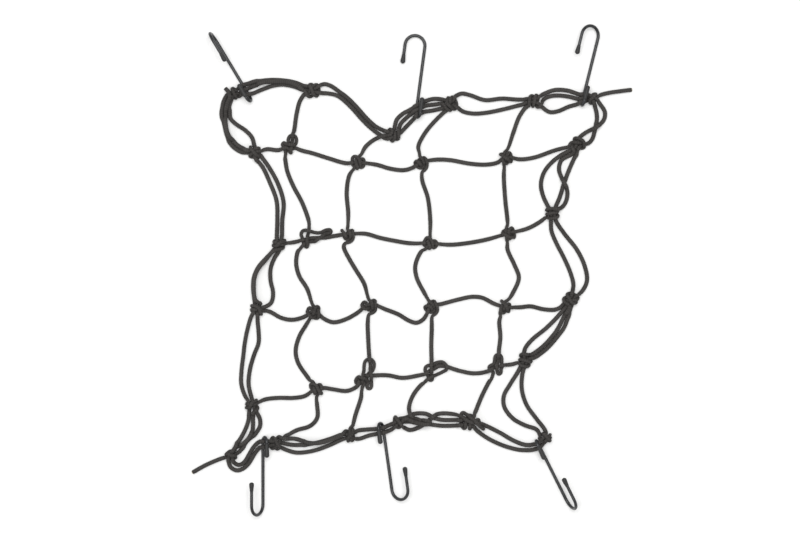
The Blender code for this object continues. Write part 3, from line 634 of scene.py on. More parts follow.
def braid_group() -> bpy.types.NodeTree:
    """The braid of a cord's sheath, from the cord's own UV map.

    Strands wind both ways: with u round the cord and v along it, the two waves are
    sin(2 pi (count u + v / pitch)) and sin(2 pi (count u - v / pitch)). Their product is a field
    of diamonds, which stand proud, and fine noise stands for the fibres.

    Returns:
        The group, with outputs Height and Shade, both from 0 to 1. Shade is painted shade, darker in
        the grooves between the diamonds and lighter on their crowns, plus the fibres' random tone.
    """
    group, n, source, sink = group_with("braid", ("Count", "Pitch", "Fibre"), ("Height", "Shade"))
    uv = n.add("ShaderNodeUVMap", uv_map="along")
    split = n.add("ShaderNodeSeparateXYZ")
    n.link(uv.outputs[0], split.inputs[0])
    round_it = n.math("MULTIPLY", split.outputs[0], source.outputs["Count"])
    along = n.math("DIVIDE", split.outputs[1], source.outputs["Pitch"])
    waves = []
    for way in ("ADD", "SUBTRACT"):
        phase = n.math("MULTIPLY", n.math(way, round_it, along), 2 * math.pi)
        waves.append(n.math("SINE", phase))
    diamonds = n.math("MULTIPLY_ADD", n.math("MULTIPLY", *waves), 0.5, 0.5)
    coords = n.add("ShaderNodeTexCoord")
    noise = n.add("ShaderNodeTexNoise")
    noise.inputs["Scale"].default_value = FIBRE_SCALE
    noise.inputs["Detail"].default_value = FIBRE_DETAIL
    n.link(coords.outputs["Object"], noise.inputs["Vector"])
    fibre = n.math("MULTIPLY", n.math("SUBTRACT", noise.outputs[0], 0.5), source.outputs["Fibre"])
    height = n.math("ADD", diamonds, fibre)
    n.link(height, sink.inputs["Height"])
    # Shade: painted shade, the colour darker in the braid's grooves and lighter on its crowns, with the
    # fibres' own random tone.
    n.link(n.math("MULTIPLY_ADD", height, 0.5, 0.5), sink.inputs["Shade"])
    return group


def wear_group() -> bpy.types.NodeTree:
    """Soft blotches from two sizes of noise on Object coordinates, for handling and dust.

    Returns:
        The group, with the output Mask from 0 to 1.
    """
    group, n, source, sink = group_with("wear", ("Scale",), ("Mask",))
    coords = n.add("ShaderNodeTexCoord")
    parts = []
    for factor, detail in WEAR_LAYERS:
        noise = n.add("ShaderNodeTexNoise")
        noise.inputs["Detail"].default_value = detail
        n.link(coords.outputs["Object"], noise.inputs["Vector"])
        n.link(n.math("MULTIPLY", source.outputs["Scale"], factor), noise.inputs["Scale"])
        parts.append(noise.outputs[0])
    mask = n.math("MULTIPLY_ADD", n.math("ADD", *parts), WEAR_CONTRAST, WEAR_OFFSET)
    n.link(n.math("MINIMUM", n.math("MAXIMUM", mask, 0.0), 1.0), sink.inputs["Mask"])
    return group


@dataclass(frozen=True)
class Finish:
    """A surface: two colours that a mask blends, and the gloss that goes with them."""

    name: str
    dark: tuple[float, float, float]
    light: tuple[float, float, float]
    roughness: tuple[float, float]
    bump: float
    bump_distance: float
    specular: float = 0.5

    def base(self) -> tuple[bpy.types.Material, Nodes, bpy.types.Node]:
        """A new material, its node helper and its Principled shader with the constant values."""
        made = bpy.data.materials.new(self.name)
        made.use_nodes = True
        shader = made.node_tree.nodes["Principled BSDF"]
        shader.inputs["Specular IOR Level"].default_value = self.specular
        return made, Nodes(made.node_tree), shader

    def dress(self, n: Nodes, shader: bpy.types.Node, mask: bpy.types.NodeSocket,
              height: bpy.types.NodeSocket) -> None:
        """Blend the colours and the roughness by the mask, and bump the surface by the height."""
        colour = n.add("ShaderNodeMix", data_type="RGBA")
        colour.inputs[6].default_value = (*self.dark, 1.0)
        colour.inputs[7].default_value = (*self.light, 1.0)
        n.link(mask, colour.inputs[0])
        n.link(colour.outputs[2], shader.inputs["Base Color"])
        low, high = self.roughness
        n.link(n.math("MULTIPLY_ADD", mask, high - low, low), shader.inputs["Roughness"])
        bump = n.add("ShaderNodeBump")
        bump.inputs["Strength"].default_value = self.bump
        bump.inputs["Distance"].default_value = self.bump_distance
        n.link(height, bump.inputs["Height"])
        n.link(bump.outputs[0], shader.inputs["Normal"])


@dataclass(frozen=True)
class CordFinish(Finish):
    """Braided elastic cord: diamonds of the sheath, with painted shade that darkens the grooves between
    them, so their crowns read lighter.

    The count and the pitch are the diamonds round the cord and along it, fibre the strength of its
    fibres, and dust and dust_offset how far the blotches of handling shift the colour.
    """

    count: int = 6
    pitch: float = 4.0
    fibre: float = 0.6
    dust_scale: float = 30.0
    dust: float = 0.3
    dust_offset: float = -0.1

    def build(self, braid: bpy.types.NodeTree, wear: bpy.types.NodeTree) -> bpy.types.Material:
        """The material.

        Args:
            braid: the braid's node group.
            wear: the wear's node group.

        Returns:
            The finished material.
        """
        made, n, shader = self.base()
        pattern = n.add("ShaderNodeGroup", node_tree=braid)
        pattern.inputs["Count"].default_value = self.count
        pattern.inputs["Pitch"].default_value = self.pitch
        pattern.inputs["Fibre"].default_value = self.fibre
        dust = n.add("ShaderNodeGroup", node_tree=wear)
        dust.inputs["Scale"].default_value = self.dust_scale
        # How far the dust blotches of handling shift the colour: real dirt, not shade.
        dust_shift = n.math("MULTIPLY_ADD", dust.outputs["Mask"], self.dust, self.dust_offset)
        # The mask is the braid's painted shade in its grooves, plus the dust blotches.
        mask = n.math("ADD", pattern.outputs["Shade"], dust_shift)
        self.dress(n, shader, n.math("MINIMUM", n.math("MAXIMUM", mask, 0.0), 1.0),
                   pattern.outputs["Height"])
        return made


@dataclass(frozen=True)
class SmoothFinish(Finish):
    """Coated wire, dipped tips and the cord's rubber core: smooth, with faint blotches."""

    scale: float = 60.0

    def build(self, wear: bpy.types.NodeTree) -> bpy.types.Material:
        """The material.

        Args:
            wear: the wear's node group.

        Returns:
            The finished material.
        """
        made, n, shader = self.base()
        dust = n.add("ShaderNodeGroup", node_tree=wear)
        dust.inputs["Scale"].default_value = self.scale
        self.dress(n, shader, dust.outputs["Mask"], dust.outputs["Mask"])
        return made


# The cord's colour goes towards dark in the braid's grooves, as painted shade, and with the dust
# blotches; light is the crowns' colour.
CORD_FINISH = CordFinish("braided_elastic", dark=(0.006, 0.0057, 0.0055),
                         light=(0.068, 0.0635, 0.060), roughness=(0.9, 0.7), bump=1.0,
                         bump_distance=0.0003, specular=0.12)
WIRE_FINISH = SmoothFinish("coated_wire", dark=(0.010, 0.0105, 0.0115), light=(0.032, 0.0335, 0.036),
                           roughness=(0.22, 0.36), bump=0.15, bump_distance=0.00005, specular=0.45)
TIP_FINISH = SmoothFinish("dipped_vinyl", dark=(0.022, 0.022, 0.022), light=(0.042, 0.042, 0.042),
                          roughness=(0.42, 0.55), bump=0.2, bump_distance=0.00008, specular=0.25,
                          scale=90.0)
CORE_FINISH = SmoothFinish("rubber_core", dark=(0.42, 0.36, 0.24), light=(0.62, 0.55, 0.4),
                           roughness=(0.6, 0.8), bump=0.5, bump_distance=0.0001, scale=400.0)


# ---- hooks ---------------------------------------------------------------------------------------
@dataclass
class WireHook:
    """An S-hook of coated wire: an eye round the border cords, a shank, and a large open bend.

    Lengths are millimetres and angles degrees. The eye's end is at x, y; the shank heads away from
    the net. The bend rolls about the shank, and side says which way its free leg lies. Every hook
    takes the same wire, so its length and its free leg together are the reach. A tip starts with
    a lip on the wire, stands dip proud of it, and ends in a rounded nose.
    """

    name: str
    x: float
    y: float
    heading: float
    length: float
    roll: float
    side: int
    eye_lean: float
    wire_r: float = 1.6
    tip_r: float = 2.45
    reach: float = 100.5
    bend_r: float = 10.0
    eye_r: float = 5.2
    eye_tip: float = 14.0
    eye_return: float = 20.0
    free_tip: float = 9.0
    lip: float = 0.5
    nose: float = 2.2
    dip: tuple[float, float] = (0.05, 0.2)
    arc_points: int = 25
    sides: int = 24
    step: float = 0.8
    free_leg: float = field(init=False)
    along: Array = field(init=False)
    free: Array = field(init=False)
    rise: Array = field(init=False)
    base: Array = field(init=False)

    def __post_init__(self) -> None:
        """Work out the directions along the shank, to the free leg, and up the leaning eye."""
        a, roll, lean = (math.radians(v) for v in (self.heading, self.roll, self.eye_lean))
        self.free_leg = self.reach - self.length
        self.along = np.array([math.cos(a), math.sin(a), 0.0])
        left = np.array([-math.sin(a), math.cos(a), 0.0]) * self.side
        up = np.array([0.0, 0.0, 1.0])
        self.free = left * math.cos(roll) + up * math.sin(roll)
        self.rise = -left * math.sin(lean) + up * math.cos(lean)
        self.base = np.array([self.x, self.y, self.wire_r]) + self.along * self.eye_r

    def arc(self, centre: Array, out: Array, start: Array, angles: Array) -> Array:
        """Points centre + start cos(a) + out sin(a): an arc whose radius is both vectors' length."""
        return centre + np.cos(angles)[:, None] * start + np.sin(angles)[:, None] * out

    def centreline(self) -> Array:
        """The wire's centreline, from the end of the eye's return to the end of the free leg."""
        crown = self.length - self.eye_r - self.bend_r
        half = np.linspace(0, math.pi, self.arc_points)
        eye = self.arc(self.base + self.rise * self.eye_r, -self.along * self.eye_r,
                       self.rise * self.eye_r, half)
        bend = self.arc(self.base + self.along * crown + self.free * self.bend_r,
                        self.along * self.bend_r, -self.free * self.bend_r, half)
        start = eye[0] + self.along * (self.eye_return - self.eye_r - self.eye_tip)
        end = bend[-1] - self.along * (self.free_leg - self.free_tip)
        return np.vstack([start, eye, bend, end])

    def tips(self) -> dict[str, tuple[Array, Array]]:
        """Each dipped tip's start and end, on the wire's centreline."""
        crown = self.length - self.eye_r - self.bend_r
        eye_top = self.base + self.rise * 2 * self.eye_r
        leg = self.base + self.free * 2 * self.bend_r + self.along * (crown - self.free_leg)
        reach = self.eye_return - self.eye_r
        return {
            "eye_tip": (eye_top + self.along * (reach - self.eye_tip), eye_top + self.along * reach),
            "hook_tip": (leg + self.along * self.free_tip, leg),
        }

    def balls(self, step: float) -> Array:
        """The hook as rows of x, y, z and radius, for the cords to settle round."""
        line, _ = even_out(self.centreline(), step)
        rows = [np.column_stack([line, np.full(len(line), self.wire_r)])]
        for start, end in self.tips().values():
            line, _ = even_out(np.array([start, end]), step)
            rows.append(np.column_stack([line, np.full(len(line), self.tip_r)]))
        return np.vstack(rows)

    def wire_mesh(self) -> bpy.types.Mesh:
        """A round tube along the centreline: centre + r (across cos(a) + up sin(a))."""
        line, _ = even_out(self.centreline(), self.step)
        rings = tube_rings(line, np.full(len(line), self.wire_r), *carried_frames(line), self.sides)
        return grid_mesh(f"{self.name}_wire", in_place(rings), np.arange(len(line)) * self.step)

    def tip_mesh(self, name: str, start: Array, end: Array) -> bpy.types.Mesh:
        """A dipped tip: a turned profile that swells from the wire and ends in a rounded nose.

        A small lip, a quarter of a circle, stands on the wire. Then the radius grows to the tip's
        as half a cosine wave, and closes as a half ellipse over the last stretch.

        Args:
            name: the mesh's name.
            start: where the dip begins on the wire.
            end: the nose.

        Returns:
            The mesh.
        """
        way = unit(end - start)
        long = float(np.linalg.norm(end - start))
        lip, nose = self.lip, self.nose
        s = np.concatenate([np.linspace(0, lip, 6), np.linspace(lip, long - nose, 20)[1:],
                            long - nose * (1 - np.sin(np.linspace(0, math.pi / 2, 14)[1:]))])
        edge = np.sqrt(np.clip(1 - (1 - np.clip(s / lip, 0, 1)) ** 2, 0, 1))
        swell = 0.5 - 0.5 * np.cos(math.pi * np.clip(s / (long - nose), 0, 1))
        close = np.sqrt(np.clip(1 - np.clip((s - long + nose) / nose, 0, 1) ** 2, 0.0004, 1))
        start_r = self.wire_r + self.dip[0] + self.dip[1] * edge
        radius = (start_r + (self.tip_r - start_r) * swell) * close
        line = start + way * s[:, None]
        ways = np.repeat(way[None], len(s), 0)
        across = unit(np.cross(ways, [0.31, 0.22, 0.93]))
        rings = tube_rings(line, radius, across, np.cross(ways, across), self.sides)
        return grid_mesh(name, in_place(rings), s)

    def build(self, wire: bpy.types.Material, tip: bpy.types.Material) -> None:
        """Make the wire and its two tips."""
        add_piece(f"{self.name}_coated_wire", self.wire_mesh(), wire, Slot.WIRE, f"{self.name}_wire")
        for part, (start, end) in self.tips().items():
            name = f"{self.name}_dipped_{part}"
            add_piece(name, self.tip_mesh(name, start, end), tip, Slot.TIP, f"{self.name}_{part}")


HOOKS = (
    WireHook("hook_1", -160, 170, 121, 77.5, 84, 1, -18),
    WireHook("hook_2", 3.2, 153.2, 82.4, 81, 5, 1, 24),
    WireHook("hook_3", 168.8, 165, 76, 79, 30, 1, 6),
    WireHook("hook_4", -149.2, -166, -90, 77, 60, -1, 26),
    WireHook("hook_5", -29.8, -151.8, -82, 78, 37, 1, 26),
    WireHook("hook_6", 124, -169, -63.5, 77, 71, 1, 8),
)


# ---- cords: laying out ---------------------------------------------------------------------------
@dataclass
class Route:
    """One real cord's control points, each with its piece and whether a knot holds it."""

    name: str
    rows: list = field(default_factory=list)
    pieces: list = field(default_factory=list)
    closed: bool = False

    def lay(self, piece: str, points: tuple, over: float = 0.0, tied: float = 0.0) -> None:
        """Add points that lie on the surface or over some other cords.

        Args:
            piece: the piece that they belong to.
            points: (x, y) or (x, y, n), n being how many cords they ride over.
            over: n where a point gives none.
            tied: how far they are part of a knot, from 0 to 1.
        """
        for point in points:
            n = point[2] if len(point) > 2 else over
            self.rows.append((point[0], point[1], CORD_R * (1 + 2 * n), tied))
            self.pieces.append(piece)

    def tie(self, piece: str, points: Array) -> None:
        """Add points inside a knot, where the cord is stretched thin and free to pull tight."""
        for point in points:
            self.rows.append((*point, 1.0))
            self.pieces.append(piece)


def knot_frame(knot: Knot) -> tuple[Array, Array, Array]:
    """A border knot's centre, the direction along the border and the one away from the net."""
    out = math.radians(knot.out or 0.0)
    outwards = np.array([math.cos(out), math.sin(out), 0.0])
    along = np.array([math.sin(out), -math.cos(out), 0.0])
    return np.array([knot.x, knot.y, KNOT_LIFT]), along, outwards


def through(knot: Knot, offset: float) -> Array:
    """Where a border cord passes a knot: its centre moved outwards by the offset."""
    centre, _, outwards = knot_frame(knot)
    return (centre + outwards * offset)[None]


def hitch(knot: Knot, leave: tuple, path: tuple = HITCH, enter: Optional[tuple] = None) -> Array:
    """A hitch's points: centre + TURN (t along + n outwards + z up), leaving towards a point.

    Args:
        knot: the border knot.
        leave: the point that the cord leaves towards, which says which way along the border.
        path: the hitch's own path in turns.
        enter: the point of the row or column that the cord comes from, if any.

    Returns:
        The points, from the net's side to the border's.
    """
    centre, along, outwards = knot_frame(knot)
    towards = np.array([leave[0] - knot.x, leave[1] - knot.y, 0.0])
    along = along * (1.0 if towards.dot(along) >= 0 else -1.0)
    p = np.array(path) * TURN
    points = centre + p[:, :1] * along + p[:, 1:2] * outwards + p[:, 2:] * np.array([0, 0, 1.0])
    if enter is not None:
        way = unit(np.array([enter[0] - knot.x, enter[1] - knot.y, 0.0]))
        points[0] = centre + way * HITCH_ENTRY * TURN - np.array([0, 0, HITCH_DROP * TURN])
    return points


def crossing(knot: Knot, before: tuple, after: tuple) -> Array:
    """A crossing knot's points for a cord that comes from above.

    The cord passes over the other one and turns under at the lower lobe. It comes up at the upper
    left lobe, crosses over itself, turns under again beside the lower lobe, comes up at the upper
    right lobe, and leaves downwards between its own turns.

    Args:
        knot: the knot, with its lobes.
        before: the last point of the column before the knot.
        after: its first point after the knot.

    Returns:
        The points, in table millimetres.
    """
    ways = [unit(np.array([p[0] - knot.x, p[1] - knot.y, 0.0])) for p in (before, after)]
    (ax, ay), (bx, by), (cx, cy) = knot.lobes
    dx, dy = cx + 4.2 * (1 if cx < 1.5 else -1), cy + 1.2
    start, end = (way * CROSSING_REACH + [0, 0, CROSSING_DROP] for way in ways)
    rows = (start, (-0.6, 1.5, 3.6), (cx, cy + 1.4, 2.2),
            (cx, cy, -0.6), (cx * 0.7, cy * 0.4, -3.4), (ax * 0.8, ay * 0.6, -3.4), (ax, ay, -0.6),
            (ax * 0.75, ay * 0.8, 3.4), ((ax + dx) / 2, (ay + dy) / 2, 7.0), (dx, dy + 0.8, 2.8),
            (dx, dy, -0.6), (bx * 0.5, 0.0, -3.6), (bx * 0.9, by * 0.8, -2.2), (bx, by, 0.8),
            (bx * 0.6, by * 0.5, 4.6), ((cx + dx) / 4, -2.0, 3.8), end)
    return np.array(rows) + np.array([knot.x, knot.y, KNOT_LIFT])


@dataclass
class Layout:
    """Lays out the four cords of the net, knot by knot."""

    def border(self, cord: Side) -> Route:
        """A border cord all the way round.

        The outer cord starts and ends in the lower right corner's knot, which its end ties. The
        inner one is a closed loop.

        Args:
            cord: which of the two.

        Returns:
            The route.
        """
        letter = "a" if cord is Side.OUTER else "b"
        route = Route(f"border_{letter}", closed=cord is Side.INNER)
        sides = ("bottom", "left", "top", "right")
        for side in sides:
            piece = f"border_{letter}_{side}"
            sign = cord.value
            for span in (s for s in BORDER if s.side == side):
                route.tie(piece, through(KNOTS[span.start], sign * PASS))
                route.lay(piece, span.a if cord is Side.OUTER else span.b)
                sign = -cord.value if side == "right" else cord.value
        if cord is Side.OUTER:
            knot = KNOTS["BR"]
            start = through(knot, PASS)[0] + np.array(BORDER_START)
            route.rows.insert(0, (*start, 1.0))
            route.pieces.insert(0, "border_a_bottom")
            route.tie("border_a_right", hitch(knot, BORDER_TIE_LEAVES, CORNER))
        return route

    def line(self, route: Route, line: Line, forward: bool) -> None:
        """Add a row or a column from its first knot to its last, or the other way round.

        Args:
            route: the cord's route so far.
            line: the row or column.
            forward: whether the cord runs from the line's first knot.
        """
        warp = line.name.startswith("column")
        inner = line.knots[1:-1] if forward else line.knots[-2:0:-1]
        spans = [s if forward else s[::-1] for s in (line.spans if forward else line.spans[::-1])]
        for i, span in enumerate(spans):
            route.lay(line.name, span)
            if i < len(inner):
                knot = KNOTS[inner[i]]
                if warp and inner[i] in LOOSE_KNOTS:
                    rows = LOOSE_KNOTS[inner[i]]
                    route.lay(line.name, rows if forward else rows[::-1], tied=LOOSE_KNOT_TIED)
                elif warp:
                    around = (span[-1], spans[i + 1][0])
                    path = crossing(knot, *(around if forward else around[::-1]))
                    route.tie(line.name, path if forward else path[::-1])
                else:
                    route.tie(line.name, np.array([[knot.x, knot.y, KNOT_LIFT]]))

    def line_end(self, route: Route, piece: str, knot: str, leave: tuple, enter: tuple,
                 arriving: bool) -> None:
        """Tie one end of a row or a column to the border.

        Args:
            route: the cord's route so far.
            piece: the row's or the column's name.
            knot: the border knot.
            leave: the border run's nearest point.
            enter: the row's or the column's nearest point.
            arriving: whether the cord comes from the row or column and goes on along the border.
        """
        if knot in LOOSE_HITCHES:
            path = LOOSE_HITCHES[knot]
            route.lay(piece, path if arriving else path[::-1], tied=LOOSE_HITCH_TIED)
        else:
            path = hitch(KNOTS[knot], leave, enter=enter)
            route.tie(piece, path if arriving else path[::-1])

    def zigzag(self, cord: str) -> Route:
        """The weft or the warp: its runs, hitches, lines and tail, in the order they are tied.

        Args:
            cord: "weft" or "warp".

        Returns:
            The route.
        """
        route = Route(cord)
        runs, lines = RUNS[cord], LINES[cord]
        corner, tail = TAILS[cord]
        if cord == "weft":
            route.lay("weft_run_1", WEFT_START)
        else:
            route.tie("warp_run_1", hitch(KNOTS["TL"], WARP_START_LEAVES, CORNER)[::-1])
        for i, line in enumerate(lines):
            forward = i % 2 == 0
            ends = ((line.knots[0], line.spans[0][0]), (line.knots[-1], line.spans[-1][-1]))
            first, last = ends if forward else ends[::-1]
            route.lay(runs[i].name, runs[i].points, 1)
            self.line_end(route, line.name, first[0], runs[i].points[-1], first[1], False)
            self.line(route, line, forward)
            self.line_end(route, line.name, last[0], runs[i + 1].points[0], last[1], True)
        route.lay(runs[-1].name, runs[-1].points, 1)
        away = np.array(KNOTS[corner][:2]) * 2 - np.array(runs[-1].points[-1])
        route.tie(runs[-1].name, hitch(KNOTS[corner], tuple(away), CORNER))
        route.lay(f"{cord}_tail", tail)
        return route


# ---- cords: settling -----------------------------------------------------------------------------
@dataclass
class Strand:
    """One cord as a row of balls: places, radii, how much a knot holds each, and its piece."""

    route: Route
    place: Array
    tied: Array
    piece: Array

    @classmethod
    def laid(cls, route: Route, step: float) -> "Strand":
        """A route resampled into balls a step apart."""
        rows = np.array(route.rows, float)
        if route.closed:
            wrap = 3
            ring = np.vstack([rows[-wrap:], rows, rows[:wrap + 1]])
            even, where = smooth_through(ring, step)
            keep = (where >= wrap) & (where < wrap + len(rows))
            even, where = even[keep], where[keep] - wrap
        else:
            even, where = smooth_through(rows, step)
        index = np.clip(np.round(where).astype(int), 0, len(rows) - 1)
        names = np.array(route.pieces)
        tied = np.clip(even[:, 3], 0, 1)
        return cls(route, even[:, :3], tied, names[index])

    def radius(self) -> Array:
        """The cord's radius at each ball, thinner where a knot stretches it."""
        return CORD_R + (TIGHT_R - CORD_R) * self.tied


@dataclass
class Settler:
    """Lets the cords settle.

    Every cord is a row of balls. In each round they sink, knots pull tight because every ball
    moves towards the middle of its two neighbours, loose stretches are drawn back to their routes
    in plan, and any two balls that overlap push each other apart, unless they are close neighbours
    on the same cord. Nothing goes below the surface, and the hooks' balls don't move.

    step is the balls' spacing and sink how far they sink in a round. pull and slack say how
    strongly tied and loose balls move towards their neighbours' middle, hold how strongly loose
    ones are drawn back, and freed how much less tied ones are. Balls nearer than skip along a cord
    don't push, and those within reach are paired for pairs_kept rounds. passes is how often a round
    pushes, before and in the finish, where ease weakens the other moves, and push is the part of an
    overlap that goes at once.
    """

    step: float = 1.0
    rounds: int = 420
    finish: int = 120
    sink: float = 0.06
    pull: float = 0.35
    slack: float = 0.1
    hold: float = 0.2
    freed: float = 0.97
    skip: float = 5.6
    reach: float = 6.4
    pairs_kept: int = 8
    passes: tuple[int, int] = (2, 3)
    ease: float = 0.25
    push: float = 1.6

    def near_pairs(self, place: Array, owner: Array, number: Array) -> tuple[Array, Array]:
        """Pairs of balls close enough to meet soon.

        The balls are sorted by X, and each is paired with those after it within reach.

        Args:
            place: all the balls' places.
            owner: the cord that each belongs to.
            number: each ball's place along its cord, in millimetres.

        Returns:
            The two ends of each pair.
        """
        order = np.argsort(place[:, 0])
        xs = place[order, 0]
        ends = np.searchsorted(xs, xs + self.reach, side="right")
        count = ends - np.arange(len(xs)) - 1
        first = np.repeat(np.arange(len(xs)), count)
        offset = np.arange(count.sum()) - np.repeat(np.cumsum(count) - count, count)
        i, j = order[first], order[first + 1 + offset]
        keep = np.abs(place[i, 1] - place[j, 1]) < self.reach
        i, j = i[keep], j[keep]
        same = (owner[i] == owner[j]) & (np.abs(number[i] - number[j]) < self.skip)
        keep = ~same & ~((owner[i] < 0) & (owner[j] < 0))
        keep &= np.abs(place[i, 2] - place[j, 2]) < self.reach
        return i[keep], j[keep]

    def run(self, strands: list[Strand], fixed: Array) -> None:
        """Settle the strands in place.

        Args:
            strands: the cords, whose places are changed.
            fixed: the hooks' balls, as x, y, z and radius.
        """
        start = np.vstack([s.place for s in strands] + [fixed[:, :3]])
        owner = np.concatenate([np.full(len(s.place), k) for k, s in enumerate(strands)]
                               + [np.full(len(fixed), -1)])
        number = np.concatenate([np.arange(len(s.place)) * self.step for s in strands]
                                + [np.zeros(len(fixed))])
        radius = np.concatenate([s.radius() for s in strands] + [fixed[:, 3]])
        tied = np.concatenate([s.tied for s in strands] + [np.zeros(len(fixed))])
        before, after = self.neighbours(strands, len(start))
        loose = owner >= 0
        inner = loose & (before != after)
        place = start.copy()
        size = len(place)
        for turn in range(self.rounds + self.finish):
            ending = turn >= self.rounds
            ease = self.ease if ending else 1.0
            if turn % self.pairs_kept == 0:
                i, j = self.near_pairs(place, owner, number)
                both = radius[i] + radius[j]
                share = np.where(loose[j], 0.5, 1.0) * loose[i]
                other = np.where(loose[i], 0.5, 1.0) * loose[j]
            place[loose, 2] -= self.sink * ease
            middle = 0.5 * (place[before] + place[after])
            weight = (self.slack + (self.pull - self.slack) * tied) * ease
            place[inner] += ((middle - place) * weight[:, None])[inner]
            back = (start - place) * (self.hold * (1 - self.freed * tied))[:, None]
            place[loose, :2] += back[loose, :2]
            for _ in range(self.passes[ending]):
                line = place[i] - place[j]
                far = np.sqrt((line * line).sum(1))
                hit = np.flatnonzero(far < both)
                away = (both[hit] - far[hit]) / np.maximum(far[hit], 1e-6)
                push = line[hit] * away[:, None]
                hi, hj = i[hit], j[hit]
                count = np.bincount(hi, minlength=size) + np.bincount(hj, minlength=size)
                for axis in range(3):
                    move = np.bincount(hi, push[:, axis] * share[hit], size)
                    move -= np.bincount(hj, push[:, axis] * other[hit], size)
                    place[:, axis] += move / np.maximum(count, 1) * self.push
                place[loose, 2] = np.maximum(place[loose, 2], radius[loose])
            place[~loose] = start[~loose]
        at = 0
        for strand in strands:
            strand.place = place[at:at + len(strand.place)]
            at += len(strand.place)
        line = place[i] - place[j]
        deep = both - np.sqrt((line * line).sum(1))
        log.info("settled %d balls, deepest overlap %.2f mm", size, float(deep.max()))

    def neighbours(self, strands: list[Strand], size: int) -> tuple[Array, Array]:
        """Each ball's neighbour on either side; an open end's is itself."""
        before, after = np.arange(size), np.arange(size)
        at = 0
        for strand in strands:
            n = len(strand.place)
            index = np.arange(at, at + n)
            before[index[1:]], after[index[:-1]] = index[:-1], index[1:]
            if strand.route.closed:
                before[at], after[at + n - 1] = at + n - 1, at
            else:
                before[at] = after[at] = at
                before[at + n - 1] = after[at + n - 1] = at + n - 1
            at += n
        return before, after


# ---- cords: meshes -------------------------------------------------------------------------------
@dataclass
class ElasticCord:
    """Turns a settled strand into the round, braided pieces of cord.

    Sizes are millimetres: step and sides give the mesh, count and pitch the braid's diamonds
    round and along the cord, and relief how far the braid stands proud. Over the last cut
    millimetres of a cut end its radius falls to cut_scale of the cord's.
    """

    sides: int = 24
    step: float = 0.8
    count: int = CORD_FINISH.count
    pitch: float = CORD_FINISH.pitch
    relief: float = 0.09
    cut: float = 0.8
    cut_scale: float = 0.82
    smoothing: int = 2

    def rings(self, line: Array, radius: Array, along: Array) -> Array:
        """The tube's rings: centre + (r + relief w) (across cos(a) + up sin(a)).

        w is sin(count a + 2 pi s / pitch) sin(count a - 2 pi s / pitch), the braid's diamonds,
        s being the length along the cord.

        Args:
            line: the centreline.
            radius: the cord's radius at each point.
            along: the length along the cord at each point.

        Returns:
            Rings by sides by 3.
        """
        a = angles_round(self.sides)[None, :]
        s = 2 * math.pi * along[:, None] / self.pitch
        weave = np.sin(self.count * a + s) * np.sin(self.count * a - s)
        r = radius[:, None] + self.relief * (weave - 0.5)
        return tube_rings(line, r, *carried_frames(line), self.sides)

    def dress(self, strand: Strand, cord: bpy.types.Material) -> dict[str, tuple]:
        """Make every piece of a strand, splitting it where one piece hands over to the next.

        Args:
            strand: the settled cord.
            cord: the cord's material.

        Returns:
            For each tail, its piece and its centreline in metres.
        """
        names = list(dict.fromkeys(strand.piece))
        number = np.array([names.index(p) for p in strand.piece], float)
        place, tied = strand.place, strand.tied
        if strand.route.closed:
            place, tied = np.vstack([place, place[:1]]), np.append(tied, tied[0])
            number = np.append(number, number[-1])
        line, extra = even_out(place, self.step, np.column_stack([tied, number]))
        for _ in range(self.smoothing):
            line[1:-1] += 0.25 * (line[:-2] + line[2:] - 2 * line[1:-1])
        owner = np.clip(np.round(extra[:, 1]).astype(int), 0, len(names) - 1)
        along = np.arange(len(line)) * self.step
        radius = CORD_R + (TIGHT_R - CORD_R) * extra[:, 0]
        if not strand.route.closed:
            close = np.clip(np.minimum(along, along[-1] - along) / self.cut, 0, 1)
            radius = radius * (self.cut_scale + (1 - self.cut_scale) * np.sqrt(close))
        log.info("%s: %.0f mm long, knots included", strand.route.name, along[-1])
        tube = self.rings(line, radius, along)
        tails = {}
        for k, name in enumerate(names):
            index = np.flatnonzero(owner == k)
            lo, hi = index[0], index[-1] + (2 if index[-1] + 1 < len(line) else 1)
            mesh = grid_mesh(name, in_place(tube[lo:hi]), along[lo:hi])
            if name.endswith("_tail"):
                node = "warp_run_5" if name.startswith("warp") else "weft_run_5"
                piece = add_piece(name, mesh, cord, Slot.CORD, node)
                tails[name] = (piece, in_place(line[lo:hi]))
            else:
                add_piece(f"{name}_cord", mesh, cord, Slot.CORD, name)
        return tails


